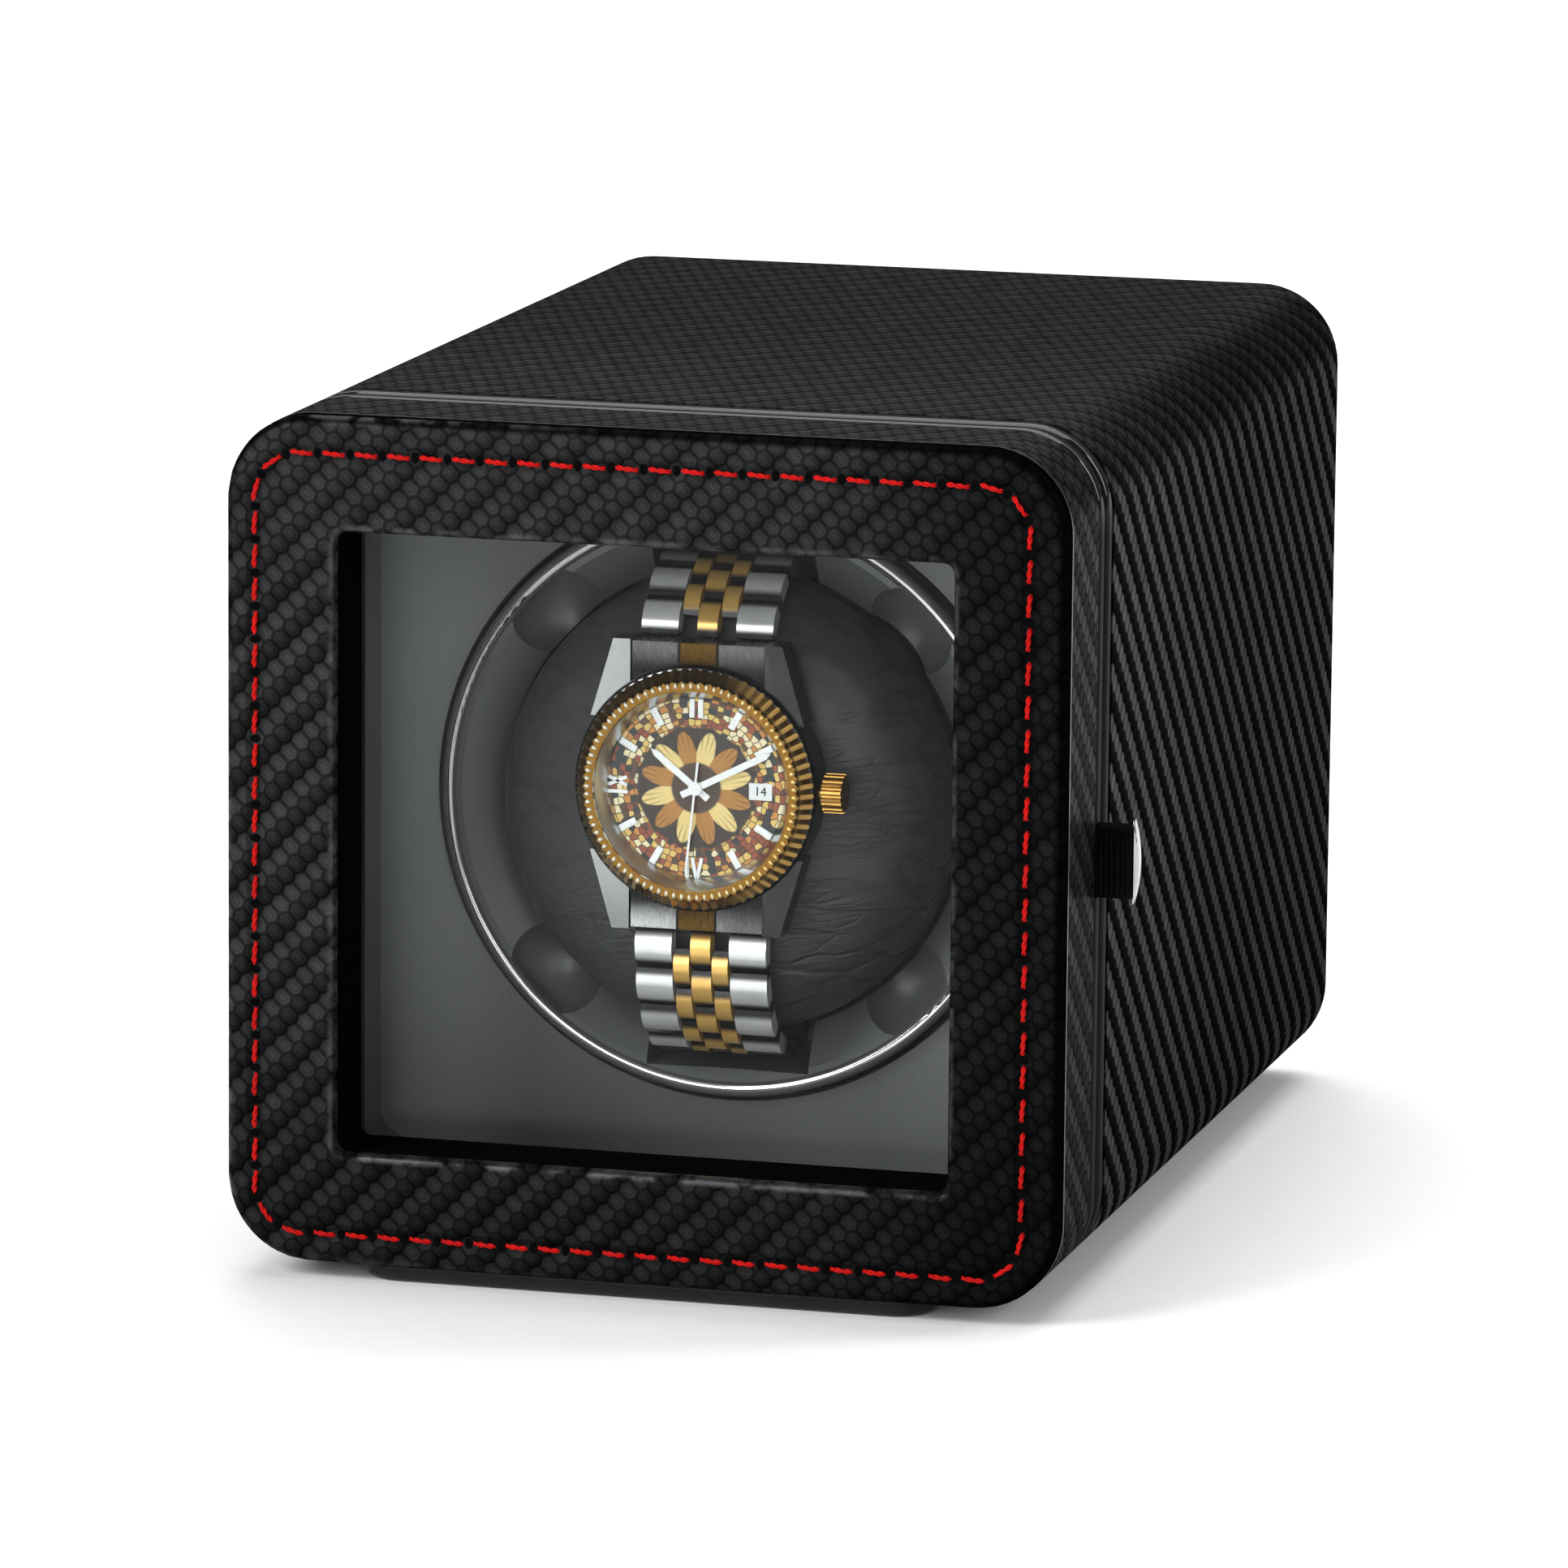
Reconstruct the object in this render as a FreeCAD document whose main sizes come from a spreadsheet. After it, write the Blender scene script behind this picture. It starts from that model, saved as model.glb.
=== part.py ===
import FreeCAD, Part
import math
import os
import types
import Sketcher
from FreeCAD import Vector

# A watch winder: a leather-covered box with a hinged glazed door. Behind the glass a motor turns a cup, and
# the cup holds a cushion with a watch strapped round it. X runs to the right, Y from the door to the back
# and Z up. The origin is on the resting face of the base pad, under the middle of the box.

doc = FreeCAD.newDocument("watch_winder")
sheet = doc.addObject("Spreadsheet::Sheet", "sizes")
pieces = []

driving = {
    # Box
    "case_width": 125,
    "case_height": 125,
    "overall_depth": 185,
    "corner_radius": 12.5,
    "leather": 0.8,
    "wall": 6.2,
    "lining": 0.8,
    "back_edge": 1.5,
    "fit_gap": 0.2,
    # Base pad, relieved where the door swings over it
    "pad_width": 86,
    "pad_inset": 2,
    "pad_height": 2.4,
    "pad_corner": 6,
    "pad_edge": 1,
    "door_relief": 0.4,
    # Door
    "door_depth": 24.5,
    "door_gap": 0.5,
    "trim_depth": 4.2,
    "trim_round": 1.5,
    "face_thick": 2.6,
    "face_round": 1.8,
    "face_groove": 0.6,
    "band_round": 0.5,
    "window_width": 92,
    "window_height": 91.5,
    "window_corner": 1.5,
    "window_round": 0.8,
    "jamb_depth": 14.5,
    "liner_thick": 1.2,
    "liner_setback": 0.3,
    "pane_thick": 2,
    "pane_lap": 4,
    "pane_play": 0.25,
    "retainer_flange": 3.2,
    "retainer_setback": 2.6,
    "retainer_screw": 1.1,
    "retainer_screw_head": 2.1,
    "retainer_screw_length": 7,
    # Hinges, magnets and pull tab
    "hinge_height": 24,
    "hinge_offset": 34,
    "hinge_out": 0.5,
    "knuckle_radius": 2,
    "knuckle_gap": 0.3,
    "hinge_clear": 0.4,
    "hinge_pin": 0.8,
    "pin_head_radius": 1.5,
    "pin_head": 0.6,
    "leaf_thick": 0.8,
    "leaf_width": 4.6,
    "running_gap": 0.05,
    "magnet_radius": 2.6,
    "magnet_length": 3,
    "strike_thick": 1.2,
    "catch_offset": 34,
    "tab_height": 10.5,
    "tab_thick": 3.2,
    "tab_out": 5.2,
    "tab_root": 5,
    "cap_height": 13.2,
    "cap_thick": 1.7,
    "cap_depth": 3.6,
    # Display compartment
    "fascia_depth": 51,
    "fascia_thick": 4,
    "fascia_hole": 45.6,
    "cleat_width": 6,
    "cleat_depth": 6,
    # Rotor
    "ring_front": 48.4,
    "ring_depth": 3,
    "ring_radius": 44.6,
    "ring_wall": 2.2,
    "ring_round": 0.9,
    "ring_proud": 0.6,
    "rim_land": 1,
    "cup_radius": 43.6,
    "cup_back_radius": 41.8,
    "cup_straight": 12,
    "land_drop": 3.5,
    "seat_radius": 35.4,
    "seat_floor": 74,
    "floor_thick": 3,
    "slot_width": 25,
    "slot_reach": 40.4,
    "slot_floor": 1,
    "notch_radius": 7.5,
    "notch_place": 37,
    "notch_rise": 0.5,
    "rib_thick": 2,
    "rib_reach": 36,
    "hub_radius": 10,
    "hub_length": 4,
    "shaft_radius": 3,
    "shaft_tail": 3,
    # Drive
    "gear_module": 0.75,
    "gear_teeth": 64,
    "pinion_teeth": 20,
    "gear_width": 6,
    "pinion_width": 7,
    "gear_hub_radius": 7,
    "gear_hub": 3.4,
    "web_thick": 3,
    "rim_inner": 20,
    "lightening_radius": 3.6,
    "pressure_angle": 20,
    "tooth_addendum": 0.95,
    "tooth_dedendum": 1.25,
    "backlash": 0.14,
    "thrust_gap": 0.3,
    "plate_thick": 4,
    "housing_radius": 8,
    "housing_length": 24,
    "flange_radius": 15,
    "flange_thick": 3,
    "flange_screw_place": 11.5,
    "bush_radius": 5,
    "bush_length": 6,
    "clip_radius": 5,
    "clip_thick": 0.8,
    "clip_groove": 0.4,
    "gearbox_radius": 12.5,
    "gearbox_length": 20,
    "motor_radius": 12.2,
    "motor_length": 31,
    "motor_boss_radius": 3.5,
    "motor_boss": 2.5,
    "motor_shaft": 2,
    "motor_shaft_depth": 6,
    "motor_screw_place": 8.5,
    "terminal_spread": 2.5,
    "terminal_length": 3,
    "lead_radius": 0.7,
    "lead_bend": 4,
    "screw_radius": 1.5,
    "screw_head_radius": 2.7,
    "screw_head": 1.8,
    "screw_reach": 6,
    # Back
    "back_recess": 4,
    "back_thick": 5,
    "board_width": 64,
    "board_height": 46,
    "board_thick": 1.6,
    "board_lift": 14,
    "board_edge": 4,
    "standoff_length": 16.4,
    "standoff_radius": 2.6,
    "control_spread": 18,
    "jack_width": 9,
    "jack_height": 11,
    "jack_length": 12,
    "jack_neck": 4,
    "jack_flange": 5.6,
    "jack_flange_thick": 1.4,
    "jack_bore": 2.75,
    "jack_bore_depth": 9,
    "jack_pin": 1,
    "switch_width": 11,
    "switch_length": 6,
    "switch_neck": 3.4,
    "spindle_radius": 2,
    "spindle_depth": 4,
    "knob_radius": 8,
    "knob_length": 9,
    "knob_gap": 0.6,
    "knob_socket": 7,
    "knob_round": 1,
    "knob_flutes": 18,
    "knob_flute": 0.9,
    # Cushion
    "cushion_depth": 52,
    "cushion_gap": 0.3,
    "cushion_shoulder": 27,
    "cushion_shoulder_drop": 3.6,
    "seam_depth": 1.4,
    "seam_half": 1.2,
    "core_width_share": 1.14,
    "core_height_share": 1.25,
    "core_depth": 14,
    "core_round": 4,
    # Watch
    "loop_straight": 39,
    "loop_radius": 17.5,
    "link_thick": 2.6,
    "link_pitch": 6.3,
    "link_gap": 0.25,
    "link_taper": 0.4,
    "link_dome": 1.2,
    "bracelet_width": 20,
    "outer_link": 5.6,
    "centre_link": 3,
    "clasp_length": 32,
    "clasp_thick": 1.6,
    "watch_lift": 5.5,
    "watch_radius": 18.4,
    "watch_thick": 6.4,
    "watch_round": 0.9,
    "lug_reach": 21.6,
    "lug_root": 10,
    "lug_width": 6,
    "lug_tip_width": 2.6,
    "lug_drop": 1.2,
    "end_link_drop": 1.6,
    "bezel_radius": 18.1,
    "bezel_top_radius": 16.4,
    "bezel_bore": 14.9,
    "bezel_height": 2.2,
    "bezel_flutes": 72,
    "flute_depth": 0.45,
    "dial_thick": 0.5,
    "dial_sink": 1.1,
    "crystal_thick": 1.1,
    "crystal_proud": 0.5,
    "hand_thick": 0.18,
    "hand_step": 0.3,
    "hand_half_width": 0.5,
    "hand_tail": 2.4,
    "hand_hub": 1,
    "hour_hand": 8.8,
    "minute_hand": 12.8,
    "second_half_width": 0.16,
    "second_hand": 12.8,
    "second_tail": 4,
    "crown_radius": 2.9,
    "crown_length": 3,
    "crown_stem": 1.2,
    "crown_stem_length": 0.6,
    "crown_flutes": 16,
    "crown_flute": 0.4,
}

for row, (name, value) in enumerate(driving.items(), 1):
    sheet.set(f"A{row}", name)
    sheet.set(f"B{row}", str(value))
    sheet.setAlias(f"B{row}", name)
doc.recompute()


class Size:
    """A length: its value in millimetres and the formula that gives it from the sheet."""

    def __init__(self, value, formula):
        self.value = value
        self.formula = formula

    def joined(self, sign, other, value):
        return Size(value, f"({self.formula} {sign} {other.formula})")

    def __add__(self, other):
        other = as_size(other)
        return self.joined("+", other, self.value + other.value)

    def __sub__(self, other):
        other = as_size(other)
        return self.joined("-", other, self.value - other.value)

    def __mul__(self, other):
        other = as_size(other)
        return self.joined("*", other, self.value * other.value)

    def __truediv__(self, other):
        other = as_size(other)
        return self.joined("/", other, self.value / other.value)

    def __neg__(self):
        return Size(-self.value, f"(-{self.formula})")

    def __radd__(self, other):
        return as_size(other) + self

    def __rsub__(self, other):
        return as_size(other) - self

    def __rmul__(self, other):
        return as_size(other) * self


def as_size(length):
    """A plain number as a Size."""
    return length if isinstance(length, Size) else Size(float(length), f"({float(length)})")


size = types.SimpleNamespace(**{name: Size(float(value), f"sizes.{name}") for name, value in driving.items()})


def bind(thing, field, length):
    """Ties one field of a document object to the sheet."""
    thing.setExpression(field, as_size(length).formula)


def tie_point(sketch, curve, end, across, up):
    """Ties one point of an outline to the sketch's origin."""
    for kind, axis, place in (("DistanceX", -2, as_size(across)), ("DistanceY", -1, as_size(up))):
        if place.value == 0:
            sketch.addConstraint(Sketcher.Constraint("PointOnObject", curve, end, axis))
            continue
        index = sketch.addConstraint(Sketcher.Constraint(kind, -1, 1, curve, end, place.value))
        sketch.setExpression(f"Constraints[{index}]", place.formula)


def polygon(points):
    """A straight-sided outline."""
    def draw(sketch):
        corners = [Vector(as_size(x).value, as_size(y).value, 0) for x, y in points]
        count = len(corners)
        first = sketch.GeometryCount
        for i in range(count):
            sketch.addGeometry(Part.LineSegment(corners[i], corners[(i + 1) % count]))
        for i in range(count):
            sketch.addConstraint(Sketcher.Constraint("Coincident", first + i, 2, first + (i + 1) % count, 1))
        for i, (x, y) in enumerate(points):
            tie_point(sketch, first + i, 1, x, y)
    return draw


def box(left, right, low, high):
    """A rectangle given by its four sides."""
    return polygon([(left, low), (right, low), (right, high), (left, high)])


def disc(radius, across=0, up=0):
    """A circle."""
    def draw(sketch):
        centre = Vector(as_size(across).value, as_size(up).value, 0)
        curve = sketch.addGeometry(Part.Circle(centre, Vector(0, 0, 1), as_size(radius).value))
        index = sketch.addConstraint(Sketcher.Constraint("Radius", curve, as_size(radius).value))
        sketch.setExpression(f"Constraints[{index}]", as_size(radius).formula)
        tie_point(sketch, curve, 3, across, up)
    return draw


def rounded(width, height, radius):
    """A rectangle with round corners, about the sketch's origin."""
    def draw(sketch):
        x, y, r = width.value / 2, height.value / 2, radius.value
        first = sketch.GeometryCount
        middles = [Vector(x - r, r - y, 0), Vector(x - r, y - r, 0),
                   Vector(r - x, y - r, 0), Vector(r - x, r - y, 0)]
        starts = [Vector(r - x, -y, 0), Vector(x, r - y, 0), Vector(x - r, y, 0), Vector(-x, y - r, 0)]
        ends = [Vector(x - r, -y, 0), Vector(x, y - r, 0), Vector(r - x, y, 0), Vector(-x, r - y, 0)]
        for side in range(4):
            turn = math.radians(90 * side - 90)
            corner = Part.Circle(middles[side], Vector(0, 0, 1), r)
            sketch.addGeometry(Part.LineSegment(starts[side], ends[side]))
            sketch.addGeometry(Part.ArcOfCircle(corner, turn, turn + math.pi / 2))
        for i in range(8):
            sketch.addConstraint(Sketcher.Constraint("Tangent", first + i, 2, first + (i + 1) % 8, 1))
        for side in range(4):
            kind = "Vertical" if side % 2 else "Horizontal"
            sketch.addConstraint(Sketcher.Constraint(kind, first + 2 * side))
        for corner in (3, 5, 7):
            sketch.addConstraint(Sketcher.Constraint("Equal", first + 1, first + corner))
        index = sketch.addConstraint(Sketcher.Constraint("Radius", first + 1, r))
        sketch.setExpression(f"Constraints[{index}]", radius.formula)
        sides = ((0, "DistanceY", -height), (2, "DistanceX", width),
                 (4, "DistanceY", height), (6, "DistanceX", -width))
        for curve, kind, span in sides:
            place = span / 2
            index = sketch.addConstraint(Sketcher.Constraint(kind, -1, 1, first + curve, 1, place.value))
            sketch.setExpression(f"Constraints[{index}]", place.formula)
    return draw


face_tolerance = 1e-4


class Piece:
    """One piece of the box, or a set of like pieces, built up in the frame of its own placement.

    Lengths run along Y from an outline in XZ, or along Z from an outline in XY.
    """

    def __init__(self, label, x=0, y=0, z=0):
        self.body = doc.addObject("PartDesign::Body", label)
        self.body.Label = label
        self.body.AllowCompound = True
        for axis, place in zip("xyz", (x, y, z)):
            bind(self.body, f".Placement.Base.{axis}", place)
        pieces.append(self.body)

    def sketch(self, plane, at, outlines):
        sketch = self.body.newObject("Sketcher::SketchObject", "Outline")
        support = next(f for f in self.body.Origin.OriginFeatures if f.Role == plane + "_Plane")
        sketch.AttachmentSupport = [(support, "")]
        sketch.MapMode = "FlatFace"
        bind(sketch, ".AttachmentOffset.Base.z", -as_size(at) if plane == "XZ" else at)
        for outline in outlines:
            outline(sketch)
        return sketch

    def feature(self, kind, profile):
        feature = self.body.newObject(f"PartDesign::{kind}", kind)
        feature.Profile = profile
        return feature

    def add(self, length, outlines, at=0, plane="XZ"):
        pad = self.feature("Pad", self.sketch(plane, at, outlines))
        bind(pad, "Length", length)
        pad.Reversed = plane == "XZ"
        doc.recompute()
        return self

    def cut(self, length, outlines, at=0, plane="XZ"):
        before = self.body.Tip.Shape.Volume
        pocket = self.feature("Pocket", self.sketch(plane, at, outlines))
        bind(pocket, "Length", length)
        pocket.Reversed = plane != "XZ"
        doc.recompute()
        if pocket.Shape.Volume >= before:
            raise RuntimeError(f"a pocket of {self.body.Label} cuts nothing")
        return self

    def turn(self, profile):
        """A solid turned about the local Y axis, from (radius, place along Y) points."""
        sketch = self.sketch("XY", 0, [polygon(profile)])
        turned = self.feature("Revolution", sketch)
        turned.ReferenceAxis = (sketch, ["V_Axis"])
        turned.Angle = 360
        doc.recompute()
        return self

    def round_rim(self, at, radius, loop="outer", plane="XZ"):
        """Rounds the outer or the inner edges of the flat face at one place along Y, or along Z."""
        shape = self.body.Tip.Shape
        place = as_size(at).value
        edges = []
        for face in shape.Faces:
            bounds = face.BoundBox
            low, high = (bounds.YMin, bounds.YMax) if plane == "XZ" else (bounds.ZMin, bounds.ZMax)
            if max(abs(low - place), abs(high - place)) > face_tolerance:
                continue
            for wire in face.Wires:
                if wire.isSame(face.OuterWire) == (loop == "outer"):
                    edges.extend(wire.Edges)
        names = [f"Edge{i}" for i, edge in enumerate(shape.Edges, 1) if any(edge.isSame(e) for e in edges)]
        base = self.body.Tip
        fillet = self.body.newObject("PartDesign::Fillet", "Fillet")
        fillet.Base = (base, names)
        bind(fillet, "Radius", radius)
        doc.recompute()
        return self


def formed(label, shape, x=0, y=0, z=0):
    """A piece whose shape is worked out from the sheet in code."""
    feature = doc.addObject("Part::Feature", label)
    feature.Label = label
    feature.Shape = shape
    feature.Placement.Base = Vector(as_size(x).value, as_size(y).value, as_size(z).value)
    pieces.append(feature)
    return feature


def behind(depth):
    """The Y of a place that lies this far behind the front of the door."""
    return depth - size.overall_depth / 2


both_signs = (-1, 1)
four_corners = [(across, up) for across in both_signs for up in both_signs]
middle = size.pad_height + size.case_height / 2

# Outlines that the case and the door share
board_width = size.case_width - 2 * size.leather
board_height = size.case_height - 2 * size.leather
board_corner = size.corner_radius - size.leather
inner_width = board_width - 2 * size.wall
inner_height = board_height - 2 * size.wall
inner_corner = board_corner - size.wall
lined_width = inner_width - 2 * size.lining
lined_height = inner_height - 2 * size.lining
lined_corner = inner_corner - size.lining
outside = rounded(size.case_width, size.case_height, size.corner_radius)
board = rounded(board_width, board_height, board_corner)
inside = rounded(inner_width, inner_height, inner_corner)
lined = rounded(lined_width, lined_height, lined_corner)
panel = rounded(inner_width - 2 * size.fit_gap, inner_height - 2 * size.fit_gap, inner_corner)

# Places along the depth, from the front of the door
door_board_end = size.door_depth - size.trim_depth
case_start = size.door_depth + size.door_gap
shell_start = case_start + size.trim_depth
back_start = size.overall_depth - size.back_recess - size.back_thick

# Hinge line at the left, in the middle of the seam between door and case
hinge_x = -(size.case_width / 2 + size.hinge_out)
hinge_depth = size.door_depth + size.door_gap / 2
notch_right = hinge_x + size.knuckle_radius + size.hinge_clear
leaf_right = notch_right + size.leaf_width
catch_x = size.case_width / 2 - size.leather - size.wall / 2


def hinge_notches():
    """Clearance for the knuckles, one at each hinge."""
    tall = size.hinge_height / 2 + size.pin_head + size.hinge_clear
    left = hinge_x - size.knuckle_radius
    spots = [s * size.hinge_offset for s in both_signs]
    return [box(left, notch_right, spot - tall, spot + tall) for spot in spots]


def leaf_pockets():
    """Shallow pockets that the hinge leaves lie in."""
    tall = size.hinge_height / 2 + size.fit_gap
    left = notch_right - size.hinge_clear
    right = leaf_right + size.fit_gap
    return [box(left, right, s * size.hinge_offset - tall, s * size.hinge_offset + tall) for s in both_signs]


knuckle_notch = size.knuckle_radius + size.hinge_clear - size.door_gap / 2
leaf_pocket = size.leaf_thick + size.running_gap


def catch_discs(radius):
    """One disc at each catch magnet."""
    return [disc(radius, catch_x, s * size.catch_offset) for s in both_signs]


catch_pockets = catch_discs(size.magnet_radius + size.running_gap)

# Case shell: a board tube, covered in leather that turns in over the back edge
shell_length = size.overall_depth - size.leather - shell_start
shell = Piece("case_shell", y=behind(shell_start), z=middle)
shell.add(shell_length, [board, inside])

wrap = Piece("case_leather", y=behind(shell_start), z=middle)
wrap.add(shell_length + size.leather, [outside, inside])
wrap.cut(shell_length, [board])
wrap.round_rim(shell_length + size.leather, size.back_edge)

# Case trim: a glossy bead round the front edge, let in for the hinges and the catch magnets
trim = Piece("case_trim", y=behind(case_start), z=middle)
trim.add(size.trim_depth, [outside, lined])
trim.round_rim(0, size.trim_round)
trim.round_rim(size.trim_depth, size.trim_round)
trim.cut(knuckle_notch, hinge_notches())
trim.cut(leaf_pocket, leaf_pockets())
trim.cut(size.magnet_length + size.running_gap, catch_pockets)

magnets = Piece("case_magnets", y=behind(case_start) + size.running_gap, z=middle)
magnets.add(size.magnet_length, catch_discs(size.magnet_radius))

# Display compartment: soft lining on the walls, and a fascia with a round opening on a cleat
lining = Piece("compartment_lining", y=behind(shell_start), z=middle)
lining.add(size.fascia_depth - shell_start, [inside, lined])

fascia = Piece("fascia_panel", y=behind(size.fascia_depth), z=middle)
fascia.add(size.fascia_thick, [panel, disc(size.fascia_hole)])

cleat_start = size.fascia_depth + size.fascia_thick
cleat_inside = rounded(inner_width - 2 * size.cleat_width, inner_height - 2 * size.cleat_width, inner_corner)
cleat = Piece("fascia_cleat", y=behind(cleat_start), z=middle)
cleat.add(size.cleat_depth, [inside, cleat_inside])

# Base pad: a covered board that the box stands on, lower under the swing of the door
pad_length = size.overall_depth - 2 * size.pad_inset
base = Piece("base_pad")
base.add(size.pad_height, [rounded(size.pad_width, pad_length, size.pad_corner)], plane="XY")
base.round_rim(0, size.pad_edge, plane="XY")
under_door = box(-size.pad_width, size.pad_width, -size.overall_depth, behind(case_start))
base.cut(size.door_relief, [under_door], at=size.pad_height - size.door_relief, plane="XY")

# Door: a board frame with a stitched leather face, a leather band round its sides and a glossy bead behind
window = rounded(size.window_width, size.window_height, size.window_corner)


def window_grown(margin):
    """The window's outline, larger by a margin on each side."""
    return rounded(size.window_width + 2 * margin, size.window_height + 2 * margin, size.window_corner)


frame_depth = door_board_end - size.face_thick
rabbet = size.jamb_depth - size.face_thick
retainer_screw_up = size.window_height / 2 + size.pane_lap + size.pane_play + 2 * size.retainer_screw
retainer_screw_across = size.window_width / 2 + size.pane_lap + size.pane_play + 2 * size.retainer_screw
screw_spots = [(a * retainer_screw_across, u * size.window_height / 4) for a, u in four_corners]
screw_spots += [(a * size.window_width / 4, u * retainer_screw_up) for a, u in four_corners]


def screw_discs(radius):
    """One disc at each screw of the pane retainer."""
    return [disc(radius, across, up) for across, up in screw_spots]


door = Piece("door_frame", y=behind(size.face_thick), z=middle)
door.add(frame_depth, [board, window_grown(size.liner_thick)])
door.cut(frame_depth - rabbet, [window_grown(size.pane_lap + size.pane_play)], at=rabbet)
pilot = size.retainer_screw_length
door.cut(pilot, screw_discs(size.retainer_screw), at=frame_depth - pilot)

face = Piece("door_face_leather", y=behind(as_size(0)), z=middle)
face.add(size.face_thick, [outside, window])
face.round_rim(0, size.face_round)
face.round_rim(0, size.window_round, loop="inner")

band_start = size.face_thick + size.face_groove
band = Piece("door_band_leather", y=behind(band_start), z=middle)
band.add(door_board_end - band_start, [outside, board])
band.round_rim(0, size.band_round)
band.round_rim(door_board_end - band_start, size.band_round)

tab_front = size.trim_depth - size.tab_thick - size.fit_gap
tab_slot = box(size.case_width / 2 - size.tab_root, size.case_width,
               -size.tab_height / 2 - size.fit_gap, size.tab_height / 2 + size.fit_gap)
door_trim = Piece("door_trim", y=behind(door_board_end), z=middle)
door_trim.add(size.trim_depth, [outside, lined])
door_trim.round_rim(0, size.trim_round)
door_trim.round_rim(size.trim_depth, size.trim_round)
door_trim.cut(knuckle_notch, hinge_notches(), at=size.trim_depth - knuckle_notch)
door_trim.cut(leaf_pocket, leaf_pockets(), at=size.trim_depth - leaf_pocket)
strike_pocket = size.strike_thick + size.running_gap
door_trim.cut(strike_pocket, catch_pockets, at=size.trim_depth - strike_pocket)
door_trim.cut(size.trim_depth - tab_front + size.running_gap, [tab_slot], at=tab_front - size.running_gap)

strikes = Piece("door_strikes", y=behind(size.door_depth - strike_pocket), z=middle)
strikes.add(size.strike_thick, catch_discs(size.magnet_radius))

# Pull tab: a block let into the door's bead, with a lens-shaped cap on its outer end
tab_tip = size.case_width / 2 + size.tab_out
tab = Piece("pull_tab", y=behind(door_board_end + tab_front), z=middle)
tab.add(size.tab_thick, [box(size.case_width / 2 - size.tab_root + size.fit_gap, tab_tip,
                             -size.tab_height / 2, size.tab_height / 2)])

lens_low = Vector(0, 0, -size.cap_height.value / 2)
lens_high = Vector(0, 0, size.cap_height.value / 2)
lens_arc = Part.Arc(lens_low, Vector(size.cap_thick.value, 0, 0), lens_high).toShape()
lens_line = Part.LineSegment(lens_high, lens_low).toShape()
lens = Part.Face(Part.Wire([lens_arc, lens_line])).extrude(Vector(0, size.cap_depth.value, 0))
formed("pull_tab_cap", lens, x=tab_tip, z=middle,
       y=behind(door_board_end + tab_front + (size.tab_thick - size.cap_depth) / 2))

# Window: a dark liner in the reveal, the pane in its rabbet and a stepped frame that holds it from behind
liner = Piece("window_liner", y=behind(size.face_thick), z=middle)
liner.add(rabbet, [window_grown(size.liner_thick - size.running_gap), window_grown(size.liner_setback)])

pane = Piece("window_pane", y=behind(size.jamb_depth), z=middle)
pane.add(size.pane_thick, [window_grown(size.pane_lap)])

pane_end = size.jamb_depth + size.pane_thick
tongue = door_board_end - pane_end
retainer = Piece("pane_retainer", y=behind(pane_end), z=middle)
retainer_bore = window_grown(size.retainer_setback)
retainer.add(tongue, [window_grown(size.pane_lap), retainer_bore])
retainer_edge = rounded(lined_width - 2 * size.fit_gap, lined_height - 2 * size.fit_gap, lined_corner)
retainer.add(size.retainer_flange, [retainer_edge, retainer_bore], at=tongue)
retainer.cut(size.retainer_flange, screw_discs(size.retainer_screw), at=tongue)

screws = Piece("retainer_screws", y=behind(door_board_end + size.retainer_flange), z=middle)
shank_length = size.retainer_screw_length + size.retainer_flange
screws.add(shank_length, screw_discs(size.retainer_screw - size.running_gap), at=-shank_length)
screws.add(size.retainer_screw_head / 2, screw_discs(size.retainer_screw_head))

# Hinges: two butt hinges, three knuckles each, on headed pins
knuckle_height = size.hinge_height / 3


def hinge_leaves(label, side, knuckles):
    """The two leaves of one side, +1 for the case and -1 for the door, with their knuckles."""
    inner = size.door_gap / 2 + size.running_gap / 2
    near, far = sorted((side * inner, side * (inner + size.leaf_thick)), key=lambda place: place.value)
    knuckle = knuckle_height - size.knuckle_gap
    leaves = Piece(label, x=hinge_x, y=behind(hinge_depth), z=middle)
    plate = box(notch_right - hinge_x, leaf_right - hinge_x, near, far)
    bridge = box(0, notch_right - hinge_x + size.hinge_clear, near, far)
    for s in both_signs:
        hinge_low = s * size.hinge_offset - size.hinge_height / 2
        leaves.add(size.hinge_height, [plate], at=hinge_low, plane="XY")
        for number in knuckles:
            low = hinge_low + number * knuckle_height + size.knuckle_gap / 2
            leaves.add(knuckle, [disc(size.knuckle_radius)], at=low, plane="XY")
            leaves.add(knuckle, [bridge], at=low, plane="XY")
        leaves.cut(size.hinge_height, [disc(size.hinge_pin + size.running_gap)], at=hinge_low, plane="XY")


hinge_leaves("case_hinge_leaves", 1, (0, 2))
hinge_leaves("door_hinge_leaves", -1, (1,))

pins = Piece("hinge_pins", x=hinge_x, y=behind(hinge_depth), z=middle)
for s in both_signs:
    pin_low = s * size.hinge_offset - size.hinge_height / 2
    pins.add(size.hinge_height, [disc(size.hinge_pin)], at=pin_low, plane="XY")
    head_low = pin_low - size.pin_head + size.knuckle_gap / 2
    head_high = pin_low + size.hinge_height - size.knuckle_gap / 2
    for head in (head_low, head_high):
        pins.add(size.pin_head, [disc(size.pin_head_radius)], at=head, plane="XY")

# Rotor cup: a turned cup with a sloping land round its seat, four finger notches and slots for the strap
cup_front = size.ring_front + size.ring_proud
ring_bore = size.ring_radius - size.ring_wall
ring_end = size.ring_front + size.ring_depth
cup_end = size.seat_floor + size.floor_thick
hub_end = cup_end + size.hub_length
shaft_bore = size.shaft_radius + size.running_gap / 2

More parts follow.
